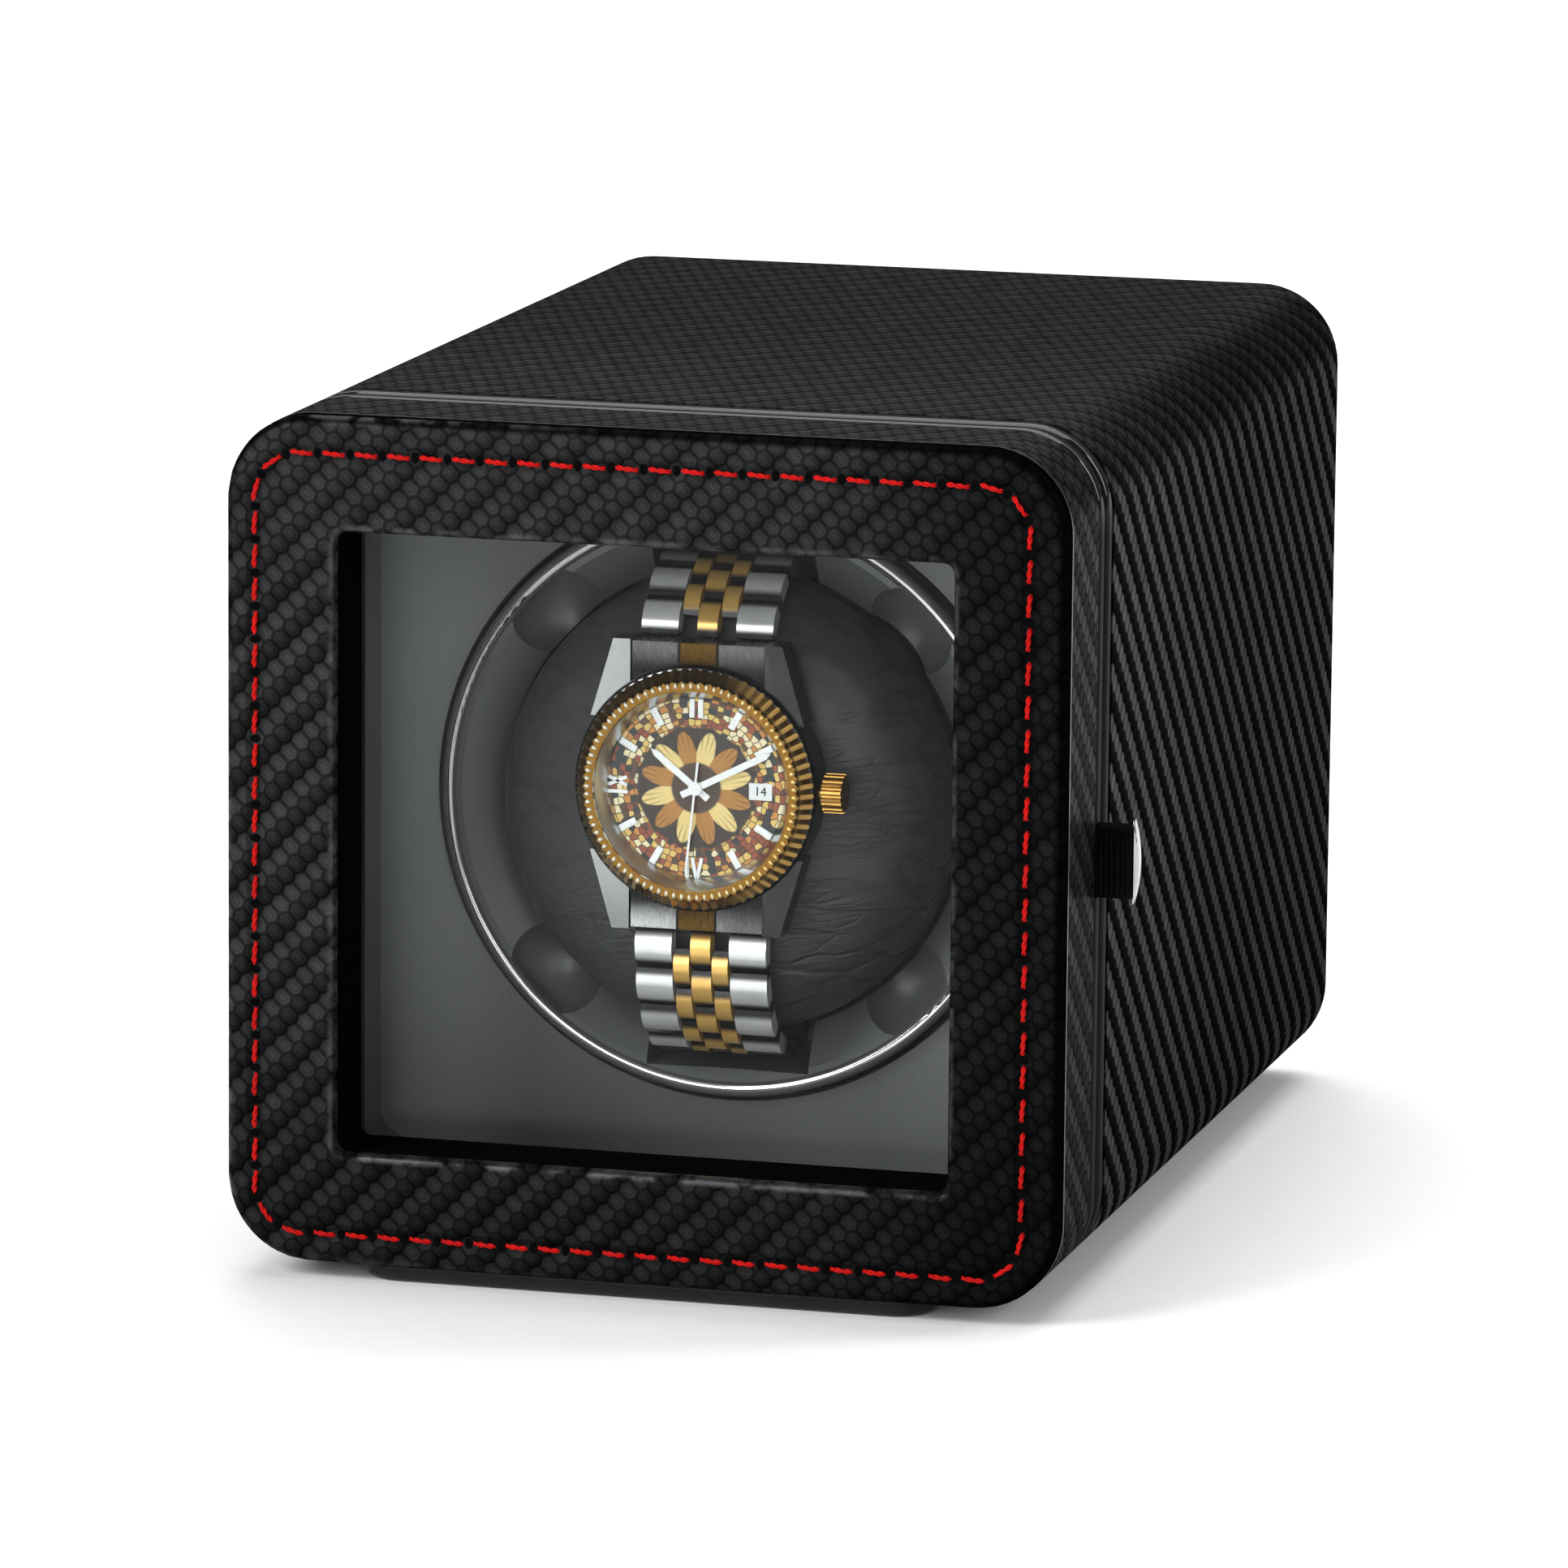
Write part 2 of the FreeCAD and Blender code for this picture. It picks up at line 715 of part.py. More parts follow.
cup = Piece("rotor_cup", y=behind(cup_front), z=middle)
cup.turn([
    (shaft_bore, size.seat_floor - cup_front),
    (size.seat_radius, size.seat_floor - cup_front),
    (size.seat_radius, size.land_drop),
    (ring_bore - size.rim_land, 0),
    (ring_bore, 0),
    (ring_bore, ring_end - cup_front),
    (size.cup_radius, ring_end - cup_front),
    (size.cup_radius, ring_end - cup_front + size.cup_straight),
    (size.cup_back_radius, cup_end - cup_front),
    (size.hub_radius, cup_end - cup_front),
    (size.hub_radius, hub_end - cup_front),
    (shaft_bore, hub_end - cup_front),
])
strap_slot = box(-size.slot_width / 2, size.slot_width / 2, -size.slot_reach, size.slot_reach)
cup.cut(size.seat_floor - size.slot_floor - cup_front, [strap_slot])
notch = cup.body.newObject("PartDesign::SubtractiveSphere", "Notch")
notch.AttachmentSupport = [(next(f for f in cup.body.Origin.OriginFeatures if f.Role == "XY_Plane"), "")]
notch.MapMode = "FlatFace"
bind(notch, "Radius", size.notch_radius)
bind(notch, ".AttachmentOffset.Base.x", size.notch_place * math.sqrt(0.5))
bind(notch, ".AttachmentOffset.Base.y", -size.notch_rise)
bind(notch, ".AttachmentOffset.Base.z", size.notch_place * math.sqrt(0.5))
doc.recompute()
notches = cup.body.newObject("PartDesign::PolarPattern", "Notches")
notches.Originals = [notch]
notches.Axis = (next(f for f in cup.body.Origin.OriginFeatures if f.Role == "Y_Axis"), [""])
notches.Angle = 360
notches.Occurrences = 4
cup.body.Tip = notches
doc.recompute()
rib_sides = (-size.rib_thick / 2, size.rib_thick / 2)
rib_height = size.hub_length / 2
cup.add(rib_height, [box(-size.rib_reach, size.rib_reach, *rib_sides)], at=cup_end - cup_front)
cup.add(rib_height, [box(*rib_sides, -size.rib_reach, size.rib_reach)], at=cup_end - cup_front)
cup.cut(hub_end - size.seat_floor, [disc(shaft_bore)], at=size.seat_floor - cup_front)

ring = Piece("rotor_ring", y=behind(size.ring_front), z=middle)
ring.add(size.ring_depth, [disc(size.ring_radius), disc(ring_bore + size.running_gap)])
ring.round_rim(0, size.ring_round)
ring.round_rim(0, size.ring_round, loop="inner")

# Drive: the plate carries the rotor's bearing and the gear motor, whose pinion turns the gear on the shaft
gear_start = hub_end
gear_end = gear_start + size.gear_width
plate_start = gear_end + size.gear_hub + size.thrust_gap
plate_end = plate_start + size.plate_thick
housing_end = plate_start + size.housing_length
clip_start = housing_end + size.thrust_gap
shaft_end = clip_start + size.clip_thick + size.shaft_tail
gear_pitch = size.gear_module * size.gear_teeth / 2
pinion_pitch = size.gear_module * size.pinion_teeth / 2
centre_distance = gear_pitch + pinion_pitch
motor_up = middle - centre_distance

shaft = Piece("rotor_shaft", y=behind(size.seat_floor), z=middle)
clip_place = clip_start - size.seat_floor
groove_radius = size.shaft_radius - size.clip_groove
shaft.turn([
    (0, 0),
    (size.shaft_radius, 0),
    (size.shaft_radius, clip_place - size.running_gap),
    (groove_radius, clip_place - size.running_gap),
    (groove_radius, clip_place + size.clip_thick + size.running_gap),
    (size.shaft_radius, clip_place + size.clip_thick + size.running_gap),
    (size.shaft_radius, shaft_end - size.seat_floor),
    (0, shaft_end - size.seat_floor),
])

clip = Piece("shaft_clip", y=behind(clip_start), z=middle)
clip.add(size.clip_thick, [disc(size.clip_radius), disc(groove_radius + size.running_gap)])
clip.cut(size.clip_thick, [box(-groove_radius, groove_radius, 0, size.clip_radius * 2)])


def gear_outline(teeth, first_tooth):
    """A wire of involute teeth, with one tooth centred on an angle given in radians."""
    module = size.gear_module.value
    pressure = math.radians(size.pressure_angle.value)
    pitch = module * teeth / 2
    base_circle = pitch * math.cos(pressure)
    tip = pitch + size.tooth_addendum.value * module
    root = pitch - size.tooth_dedendum.value * module
    half_tooth = math.pi / (2 * teeth) - size.backlash.value / (2 * pitch)

    def involute(angle):
        return math.tan(angle) - angle

    def flank(radius):
        turned = math.acos(min(1.0, base_circle / radius))
        return half_tooth + involute(pressure) - involute(turned)

    def at(radius, angle):
        return Vector(radius * math.cos(angle), 0, radius * math.sin(angle))

    low = max(root, base_circle)
    levels = (low, (low + tip) / 2, tip)
    edges = []
    for number in range(teeth):
        centre = first_tooth + 2 * math.pi * number / teeth
        following = centre + 2 * math.pi / teeth
        rise = [at(r, centre - flank(r)) for r in levels]
        fall = [at(r, centre + flank(r)) for r in reversed(levels)]
        root_start = at(root, centre + flank(low))
        root_middle = at(root, (centre + following) / 2)
        root_end = at(root, following - flank(low))
        if low > root:
            edges.append(Part.LineSegment(at(root, centre - flank(low)), rise[0]).toShape())
        edges.append(Part.Arc(*rise).toShape())
        edges.append(Part.Arc(rise[-1], at(tip, centre), fall[0]).toShape())
        edges.append(Part.Arc(*fall).toShape())
        if low > root:
            edges.append(Part.LineSegment(fall[-1], root_start).toShape())
        edges.append(Part.Arc(root_start, root_middle, root_end).toShape())
    return Part.Wire(Part.__sortEdges__(edges))


def along_y(radius, length, start=0.0, x=0.0, z=0.0):
    """A cylinder along Y."""
    return Part.makeCylinder(radius, length, Vector(x, start, z), Vector(0, 1, 0))


gear_width = size.gear_width.value
gear_teeth = int(size.gear_teeth.value)
gear_blank = Part.Face(gear_outline(gear_teeth, -math.pi / 2)).extrude(Vector(0, gear_width, 0))
recess = along_y(size.rim_inner.value, gear_width).cut(along_y(size.gear_hub_radius.value, gear_width))
web_start = (size.gear_width.value - size.web_thick.value) / 2
web = along_y(size.rim_inner.value, size.web_thick.value, web_start)
hole_place = (size.rim_inner.value + size.gear_hub_radius.value) / 2
hole_count = 6
for number in range(hole_count):
    angle = 2 * math.pi * number / hole_count
    hole = (hole_place * math.cos(angle), hole_place * math.sin(angle))
    web = web.cut(along_y(size.lightening_radius.value, gear_width, 0, *hole))
gear_hub = along_y(size.gear_hub_radius.value, gear_width + size.gear_hub.value)
gear_bore = along_y(shaft_bore.value, gear_width + size.gear_hub.value)
gear_shape = gear_blank.cut(recess).fuse([web, gear_hub]).removeSplitter().cut(gear_bore)
formed("drive_gear", gear_shape, y=behind(gear_start), z=middle)

pinion_teeth = int(size.pinion_teeth.value)
pinion_width = size.pinion_width.value
pinion_wire = gear_outline(pinion_teeth, math.pi / 2 + math.pi / pinion_teeth)
pinion_shape = Part.Face(pinion_wire).extrude(Vector(0, pinion_width, 0))
pinion_shape = pinion_shape.cut(along_y(size.motor_shaft.value + size.running_gap.value / 2, pinion_width))
pinion_start = gear_start + (size.gear_width - size.pinion_width) / 2
formed("motor_pinion", pinion_shape, y=behind(pinion_start), z=motor_up)

motor_shaft = Piece("motor_shaft", y=behind(pinion_start), z=motor_up)
motor_shaft.add(plate_end + size.motor_shaft_depth - pinion_start, [disc(size.motor_shaft)])

# Corner posts, with the drive plate on their front ends and the back panel on their back ends
post_radius = inner_corner - size.fit_gap / 2
post_across = inner_width / 2 - inner_corner
post_up = inner_height / 2 - inner_corner
post_length = back_start - plate_end


def post_discs(radius):
    """One disc at each corner post."""
    return [disc(radius, across * post_across, up * post_up) for across, up in four_corners]


posts = Piece("corner_posts", y=behind(plate_end), z=middle)
posts.add(post_length, post_discs(post_radius))
posts.cut(size.screw_reach, post_discs(size.screw_radius))
posts.cut(size.screw_reach, post_discs(size.screw_radius), at=post_length - size.screw_reach)

flange_angles = [math.radians(90 + 120 * number) for number in range(3)]
flange_screw = size.flange_screw_place
flange_spots = [(flange_screw * math.cos(a), flange_screw * math.sin(a)) for a in flange_angles]
motor_spots = [(s * size.motor_screw_place, -centre_distance) for s in both_signs]
plate = Piece("drive_plate", y=behind(plate_start), z=middle)
plate.add(size.plate_thick, [panel, disc(size.housing_radius + size.running_gap)])
plate.cut(size.plate_thick, [disc(size.motor_boss_radius + size.running_gap, 0, -centre_distance)])
plate.cut(size.plate_thick, post_discs(size.screw_radius + size.running_gap))
plate.cut(size.plate_thick, [disc(size.screw_radius + size.running_gap, *spot) for spot in motor_spots])
plate.cut(size.plate_thick, [disc(size.screw_radius + size.running_gap, *spot) for spot in flange_spots])


def plate_screws(label, start, spots, reach):
    """Pan-head screws with their heads at the front, at one place along the depth."""
    set_of = Piece(label, y=behind(start), z=middle)
    set_of.add(reach, [disc(size.screw_radius - size.running_gap, *spot) for spot in spots])
    set_of.add(size.screw_head, [disc(size.screw_head_radius, *spot) for spot in spots], at=-size.screw_head)


post_spots = [(across * post_across, up * post_up) for across, up in four_corners]
plate_reach = size.plate_thick + size.screw_reach - size.running_gap
plate_screws("drive_plate_screws", plate_start, post_spots, plate_reach)
plate_screws("motor_screws", plate_start, motor_spots, plate_reach)

housing = Piece("bearing_housing", y=behind(plate_start), z=middle)
housing.turn([
    (size.bush_radius, 0),
    (size.housing_radius, 0),
    (size.housing_radius, size.plate_thick),
    (size.flange_radius, size.plate_thick),
    (size.flange_radius, size.plate_thick + size.flange_thick),
    (size.housing_radius, size.plate_thick + size.flange_thick),
    (size.housing_radius, size.housing_length),
    (size.bush_radius, size.housing_length),
])
housing.cut(size.flange_thick, [disc(size.screw_radius, *spot) for spot in flange_spots], at=size.plate_thick)
flange_reach = size.plate_thick + size.flange_thick
plate_screws("bearing_screws", plate_start, flange_spots, flange_reach)

bushes = Piece("shaft_bushes", y=behind(plate_start), z=middle)
bush_ring = [disc(size.bush_radius - size.running_gap / 2), disc(size.shaft_radius + size.running_gap)]
bushes.add(size.bush_length, bush_ring)
bushes.add(size.bush_length, bush_ring, at=size.housing_length - size.bush_length)

# Gear motor: the gearbox is screwed to the back of the drive plate, with the motor can behind it
gearbox = Piece("motor_gearbox", y=behind(plate_end), z=motor_up)
gearbox.add(size.gearbox_length, [disc(size.gearbox_radius)])
gearbox.add(size.motor_boss, [disc(size.motor_boss_radius)], at=-size.motor_boss)
gearbox.cut(size.motor_boss + size.motor_shaft_depth + size.thrust_gap,
            [disc(size.motor_shaft + size.running_gap)], at=-size.motor_boss)
gearbox.cut(size.screw_reach, [disc(size.screw_radius, s * size.motor_screw_place) for s in both_signs])

motor_start = plate_end + size.gearbox_length
motor_end = motor_start + size.motor_length
motor = Piece("motor_can", y=behind(motor_start), z=motor_up)
motor.add(size.motor_length, [disc(size.motor_radius)])
motor.round_rim(size.motor_length, size.knob_round)
motor.add(size.motor_boss, [disc(size.motor_boss_radius)], at=size.motor_length)
terminal_half = 1.5 * size.lead_radius
terminal_up = -2 * size.motor_boss_radius
terminals = [box(s * size.terminal_spread - terminal_half, s * size.terminal_spread + terminal_half,
                 terminal_up - terminal_half, terminal_up + terminal_half) for s in both_signs]
motor.add(size.terminal_length, terminals, at=size.motor_length)

# Control board behind the motor, held off the back panel, with the jack and the mode switch through it
board_end = back_start - size.standoff_length
board_start = board_end - size.board_thick
board_middle = middle + size.board_lift
standoff_across = size.board_width / 2 - size.board_edge
standoff_up = size.board_height / 2 - size.board_edge


def standoff_discs(radius):
    """One disc at each standoff of the control board."""
    return [disc(radius, across * standoff_across, up * standoff_up) for across, up in four_corners]


circuit = Piece("control_board", y=behind(board_start), z=board_middle)
circuit.add(size.board_thick, [box(-size.board_width / 2, size.board_width / 2,
                                   -size.board_height / 2, size.board_height / 2)])
circuit.cut(size.board_thick, standoff_discs(size.screw_radius))

standoffs = Piece("board_standoffs", y=behind(board_end), z=board_middle)
standoffs.add(size.standoff_length, standoff_discs(size.standoff_radius))

lead_up = motor_up + terminal_up
plug_low = board_middle - size.board_height / 2
components = Piece("board_components", y=behind(board_start), z=board_middle)
plug = box(-2 * size.terminal_spread, 2 * size.terminal_spread,
           -size.board_height / 2, -size.board_height / 2 + size.terminal_length * 2)
plug_depth = board_start - motor_end - size.terminal_length - size.lead_bend + 2 * size.lead_radius
components.add(plug_depth, [plug], at=-plug_depth)
chip = box(-size.switch_width, 0, 0, size.switch_width)
components.add(size.board_thick, [chip], at=-size.board_thick)
capacitor = disc(size.jack_neck, size.control_spread, size.terminal_length)
components.add(size.jack_length, [capacitor], at=-size.jack_length)

lead_start = motor_end + size.terminal_length
lead_rise = plug_low.value - lead_up.value
lead_bend = size.lead_bend.value
corner = Vector(0, lead_bend * math.sqrt(0.5), lead_bend * (1 - math.sqrt(0.5)))
lead_arc = Part.Arc(Vector(0, 0, 0), corner, Vector(0, lead_bend, lead_bend)).toShape()
lead_run = Part.LineSegment(Vector(0, lead_bend, lead_bend), Vector(0, lead_bend, lead_rise)).toShape()
lead_path = Part.Wire([lead_arc, lead_run])
lead_section = Part.Wire(Part.makeCircle(size.lead_radius.value, Vector(0, 0, 0), Vector(0, 1, 0)))
lead = lead_path.makePipeShell([lead_section], True, False)
lead_pair = [lead.translated(Vector(s * size.terminal_spread.value, 0, 0)) for s in both_signs]
formed("motor_leads", Part.makeCompound(lead_pair), y=behind(lead_start), z=lead_up)

jack_x = size.control_spread
knob_x = -size.control_spread
back = Piece("back_panel", y=behind(back_start), z=middle)
back.add(size.back_thick, [panel])
back.cut(size.back_thick, [disc(size.jack_neck + size.running_gap, jack_x, size.board_lift)])
back.cut(size.back_thick, [disc(size.switch_neck + size.running_gap, knob_x, size.board_lift)])
back.cut(size.back_thick, post_discs(size.screw_radius + size.running_gap))

back_end = back_start + size.back_thick
back_screws = Piece("back_screws", y=behind(back_end), z=middle)
back_reach = size.back_thick + size.screw_reach - size.running_gap
back_screws.add(back_reach, post_discs(size.screw_radius - size.running_gap), at=-back_reach)
back_screws.add(size.screw_head, post_discs(size.screw_head_radius))

jack = Piece("power_jack", x=jack_x, y=behind(board_end), z=board_middle)
jack.add(size.jack_length, [box(-size.jack_width / 2, size.jack_width / 2,
                                -size.jack_height / 2, size.jack_height / 2)])
jack_face = back_end - board_end
jack.add(jack_face - size.jack_length, [disc(size.jack_neck)], at=size.jack_length)
jack.add(size.jack_flange_thick, [disc(size.jack_flange)], at=jack_face)
jack_mouth = jack_face + size.jack_flange_thick
jack_socket = [disc(size.jack_bore), disc(size.jack_pin)]
jack.cut(size.jack_bore_depth, jack_socket, at=jack_mouth - size.jack_bore_depth)

switch_end = back_end - board_end
switch = Piece("mode_switch", x=knob_x, y=behind(board_end), z=board_middle)
switch.add(size.switch_length, [box(-size.switch_width / 2, size.switch_width / 2,
                                    -size.switch_width / 2, size.switch_width / 2)])
switch.add(switch_end - size.switch_length, [disc(size.switch_neck)], at=size.switch_length)
spindle_start = size.switch_length - size.spindle_depth
switch.cut(switch_end - spindle_start + size.thrust_gap,
           [disc(size.spindle_radius + size.running_gap)], at=spindle_start - size.thrust_gap)

knob_start = back_end + size.knob_gap
spindle = Piece("mode_spindle", x=knob_x, y=behind(board_end + spindle_start), z=board_middle)
spindle_length = knob_start + size.knob_socket - board_end - spindle_start
spindle.add(spindle_length, [disc(size.spindle_radius)])

knob = Piece("mode_knob", x=knob_x, y=behind(knob_start), z=board_middle)
knob.add(size.knob_length, [disc(size.knob_radius)])
knob.round_rim(size.knob_length, size.knob_round)
knob.cut(size.knob_socket, [disc(size.spindle_radius + size.running_gap / 2)])
flute_angles = [2 * math.pi * i / size.knob_flutes.value for i in range(int(size.knob_flutes.value))]
flute_spots = [(size.knob_radius * math.cos(a), size.knob_radius * math.sin(a)) for a in flute_angles]
knob.cut(size.knob_length, [disc(size.knob_flute, *spot) for spot in flute_spots])

# Cushion: two leather halves with a crown, drawn in at the seam between them, over a firm core
cushion_half = size.loop_radius.value - size.link_thick.value / 2 - size.cushion_gap.value
cushion_radius = size.seat_radius.value - size.cushion_gap.value
shoulder = size.cushion_shoulder.value
shoulder_place = cushion_half - size.cushion_shoulder_drop.value
seam_half = size.seam_half.value
seam_radius = cushion_radius - size.seam_depth.value


def cushion_half_profile(side):
    """The arcs of one half of the cushion, from its crown to the seam, each through a point on its way."""
    crown_across, crown_fall = 0.55, 0.24
    edge_across, edge_left = 0.76, 0.66
    top = Vector(0, side * cushion_half, 0)
    bend = Vector(shoulder, side * shoulder_place, 0)
    lip = Vector(cushion_radius, side * seam_half, 0)
    crown_drop = crown_fall * (cushion_half - shoulder_place)
    crown_middle = Vector(crown_across * shoulder, side * (cushion_half - crown_drop), 0)
    edge_reach = shoulder + edge_across * (cushion_radius - shoulder)
    edge_middle = Vector(edge_reach, side * edge_left * shoulder_place, 0)
    crown = Part.Arc(top, crown_middle, bend)
    edge = Part.Arc(bend, edge_middle, lip)
    fold = Part.LineSegment(lip, Vector(seam_radius, 0, 0))
    return [crown.toShape(), edge.toShape(), fold.toShape()]


axis_line = Part.LineSegment(Vector(0, -cushion_half, 0), Vector(0, cushion_half, 0)).toShape()
cushion_edges = Part.__sortEdges__(cushion_half_profile(-1) + cushion_half_profile(1) + [axis_line])
cushion_form = Part.Face(Part.Wire(cushion_edges)).revolve(Vector(0, 0, 0), Vector(0, 1, 0), 360)
core_width = size.core_width_share.value * cushion_radius
core_height = size.core_height_share.value * cushion_radius
core_size = (core_width, size.core_depth.value, core_height)
core_form = Part.makeBox(*core_size, Vector(*(-length / 2 for length in core_size)))
core_form = core_form.makeFillet(size.core_round.value, core_form.Edges)
cushion_y = behind(size.cushion_depth)
formed("pillow_cushion", cushion_form.cut(core_form), y=cushion_y, z=middle)
formed("pillow_core", core_form, y=cushion_y, z=middle)

# Watch: laid on the front of the cushion a little above its middle, with its bracelet closed round the back
watch_up = middle + size.watch_lift
watch_back = size.cushion_depth - size.loop_radius + size.link_thick / 2
watch_front = watch_back - size.watch_thick

watch = Piece("watch_case", y=behind(watch_front), z=watch_up)
watch.add(size.watch_thick, [disc(size.watch_radius)])
watch.round_rim(0, size.watch_round)
lug_inner = size.bracelet_width / 2 + size.fit_gap
lugs = []
for across, up in four_corners:
    lugs.append(polygon([
        (across * lug_inner, up * size.lug_root),
        (across * (lug_inner + size.lug_width), up * size.lug_root),
        (across * (lug_inner + size.lug_tip_width), up * size.lug_reach),
        (across * lug_inner, up * size.lug_reach),
    ]))
watch.add(size.watch_thick - size.lug_drop, lugs, at=size.lug_drop)
watch.cut(size.dial_sink + size.dial_thick, [disc(size.bezel_bore)])

end_link_front = watch_front + size.end_link_drop
end_links = Piece("bracelet_end_links", y=behind(end_link_front), z=watch_up)
end_link_sides = (-size.bracelet_width / 2, size.bracelet_width / 2)
end_link_reach = size.lug_reach - size.link_gap
end_link_depth = size.watch_thick - size.end_link_drop
end_links.add(end_link_depth, [
    box(*end_link_sides, size.lug_root, end_link_reach),
    box(*end_link_sides, -end_link_reach, -size.lug_root),
])
end_links.cut(end_link_depth, [disc(size.watch_radius + size.running_gap)])

flute_count = int(size.bezel_flutes.value)


def fluted_wire(radius, place):
    """A star-shaped wire whose points are the crests of the bezel's flutes."""
    corners = []
    for i in range(2 * flute_count):
        reach = radius - (size.flute_depth.value if i % 2 else 0)
        angle = math.pi * i / flute_count
        corners.append(Vector(reach * math.cos(angle), place, reach * math.sin(angle)))
    return Part.makePolygon(corners + corners[:1])


bezel_height = size.bezel_height.value
bezel_base = fluted_wire(size.bezel_radius.value, 0)
bezel_top = fluted_wire(size.bezel_top_radius.value, -bezel_height)
bezel_form = Part.makeLoft([bezel_base, bezel_top], True, True)
bezel_form = bezel_form.cut(along_y(size.bezel_bore.value, bezel_height, -bezel_height))
formed("watch_bezel", bezel_form, y=behind(watch_front), z=watch_up)

dial_front = watch_front + size.dial_sink
dial = Piece("watch_dial", y=behind(dial_front), z=watch_up)
dial.add(size.dial_thick, [disc(size.bezel_bore - size.running_gap)])

crystal_front = watch_front - size.bezel_height - size.crystal_proud
crystal = Piece("watch_crystal", y=behind(crystal_front), z=watch_up)
crystal.add(size.crystal_thick, [disc(size.bezel_bore - size.running_gap)])
crystal.round_rim(0, size.crystal_proud)


def hand(length, tail, half_width, angle, level):
    """A bar with a pointed end, turned clockwise from twelve, a number of steps above the dial."""
    point_start = length - 2 * half_width
    spots = [(0, length), (half_width, point_start), (half_width, -tail),
             (-half_width, -tail), (-half_width, point_start)]
    turned = math.radians(angle)
    front = -(level + 1) * size.hand_step.value
    corners = []
    for across, up in spots:
        x = across * math.cos(turned) + up * math.sin(turned)
        z = up * math.cos(turned) - across * math.sin(turned)
        corners.append(Vector(x, front, z))
    blade = Part.Face(Part.makePolygon(corners + corners[:1])).extrude(Vector(0, size.hand_thick.value, 0))
    hub = along_y(size.hand_hub.value, size.hand_thick.value, front)
    return blade.fuse(hub).removeSplitter()


# The hands show a few minutes past ten, so that they stand clear of the date
hour_angle, minute_angle, second_angle = 309, 63, 186
bar = (size.hand_tail.value, size.hand_half_width.value)
sweep = (size.second_tail.value, size.second_half_width.value)
hands = [
    hand(size.hour_hand.value, *bar, hour_angle, 0),
    hand(size.minute_hand.value, *bar, minute_angle, 1),
    hand(size.second_hand.value, *sweep, second_angle, 2),
]
formed("watch_hands", Part.makeCompound(hands), y=behind(dial_front), z=watch_up)


def along_x(radius, length, start=0.0, y=0.0, z=0.0):
    """A cylinder along X."""
    return Part.makeCylinder(radius, length, Vector(start, y, z), Vector(1, 0, 0))


crown_radius = size.crown_radius.value
crown_length = size.crown_length.value
crown_form = along_x(crown_radius, crown_length, size.crown_stem_length.value)
for i in range(int(size.crown_flutes.value)):
    angle = 2 * math.pi * i / size.crown_flutes.value
    spot = (crown_radius * math.cos(angle), crown_radius * math.sin(angle))
    flute = along_x(size.crown_flute.value, crown_length, size.crown_stem_length.value, *spot)
    crown_form = crown_form.cut(flute)
crown_form = crown_form.fuse(along_x(size.crown_stem.value, size.crown_stem_length.value)).removeSplitter()
watch_mid_depth = watch_front + size.watch_thick / 2
formed("watch_crown", crown_form, x=size.watch_radius, y=behind(watch_mid_depth), z=watch_up)

# Bracelet: rows of five links round a flat-sided loop, from the lower lugs round the back to the upper lugs
straight = size.loop_straight.value
loop_radius = size.loop_radius.value
loop_length = 2 * straight + 2 * math.pi * loop_radius


def on_loop(travel):
    """The place and heading at a distance along the loop, which starts in the middle of its front."""
    travel = travel % loop_length
    half = straight / 2
    bend = math.pi * loop_radius
    if travel < half:
        return Vector(0, -loop_radius, -travel), -math.pi / 2
    if travel < half + bend:
        turned = (travel - half) / loop_radius
        place = Vector(0, -loop_radius * math.cos(turned), -half - loop_radius * math.sin(turned))
        return place, turned - math.pi / 2
    if travel < half + bend + straight:
        return Vector(0, loop_radius, travel - half - bend - half), math.pi / 2
    if travel < half + 2 * bend + straight:
        turned = (travel - half - bend - straight) / loop_radius
        place = Vector(0, loop_radius * math.cos(turned), half + loop_radius * math.sin(turned))
        return place, turned + math.pi / 2
    return Vector(0, -loop_radius, loop_length - travel), -math.pi / 2


def link(travel, left, right, length):
    """One link: a block with a domed outer face, its inner corners drawn in so that the row can bend."""
    half = length / 2
    inner = half - size.link_taper.value
    low = -size.link_thick.value / 2
    high = size.link_thick.value / 2
    shoulder_high = high - size.link_dome.value
    corners = [Vector(left, low, -inner), Vector(left, low, inner), Vector(left, shoulder_high, half),
               Vector(left, shoulder_high, -half)]
    edges = [Part.LineSegment(corners[i], corners[i + 1]).toShape() for i in range(3)]
    edges[2] = Part.Arc(corners[2], Vector(left, high, 0), corners[3]).toShape()
    edges.append(Part.LineSegment(corners[3], corners[0]).toShape())
    block = Part.Face(Part.Wire(edges)).extrude(Vector(right - left, 0, 0))
    place, heading = on_loop(travel)
    block.Placement = FreeCAD.Placement(place, FreeCAD.Rotation(Vector(1, 0, 0), math.degrees(heading) - 90))
    return block


first_row = size.lug_reach.value - size.watch_lift.value
last_row = loop_length - size.lug_reach.value - size.watch_lift.value
row_count = round((last_row - first_row) / size.link_pitch.value)
row_pitch = (last_row - first_row) / row_count
link_length = row_pitch - size.link_gap.value
half_width = size.bracelet_width.value / 2
outer_edge = half_width - size.outer_link.value
centre_half = size.centre_link.value / 2
column_gap = size.link_gap.value
outer_links = []
centre_links = []
for row in range(row_count):
    travel = first_row + (row + 0.5) * row_pitch
    outer_links.append(link(travel, -half_width, -outer_edge, link_length))
    outer_links.append(link(travel, outer_edge, half_width, link_length))
    centre_links.append(link(travel, -centre_half, centre_half, link_length))
    if row:
        between = travel - row_pitch / 2
        centre_links.append(link(between, centre_half + column_gap, outer_edge - column_gap, link_length))
        centre_links.append(link(between, column_gap - outer_edge, -centre_half - column_gap, link_length))
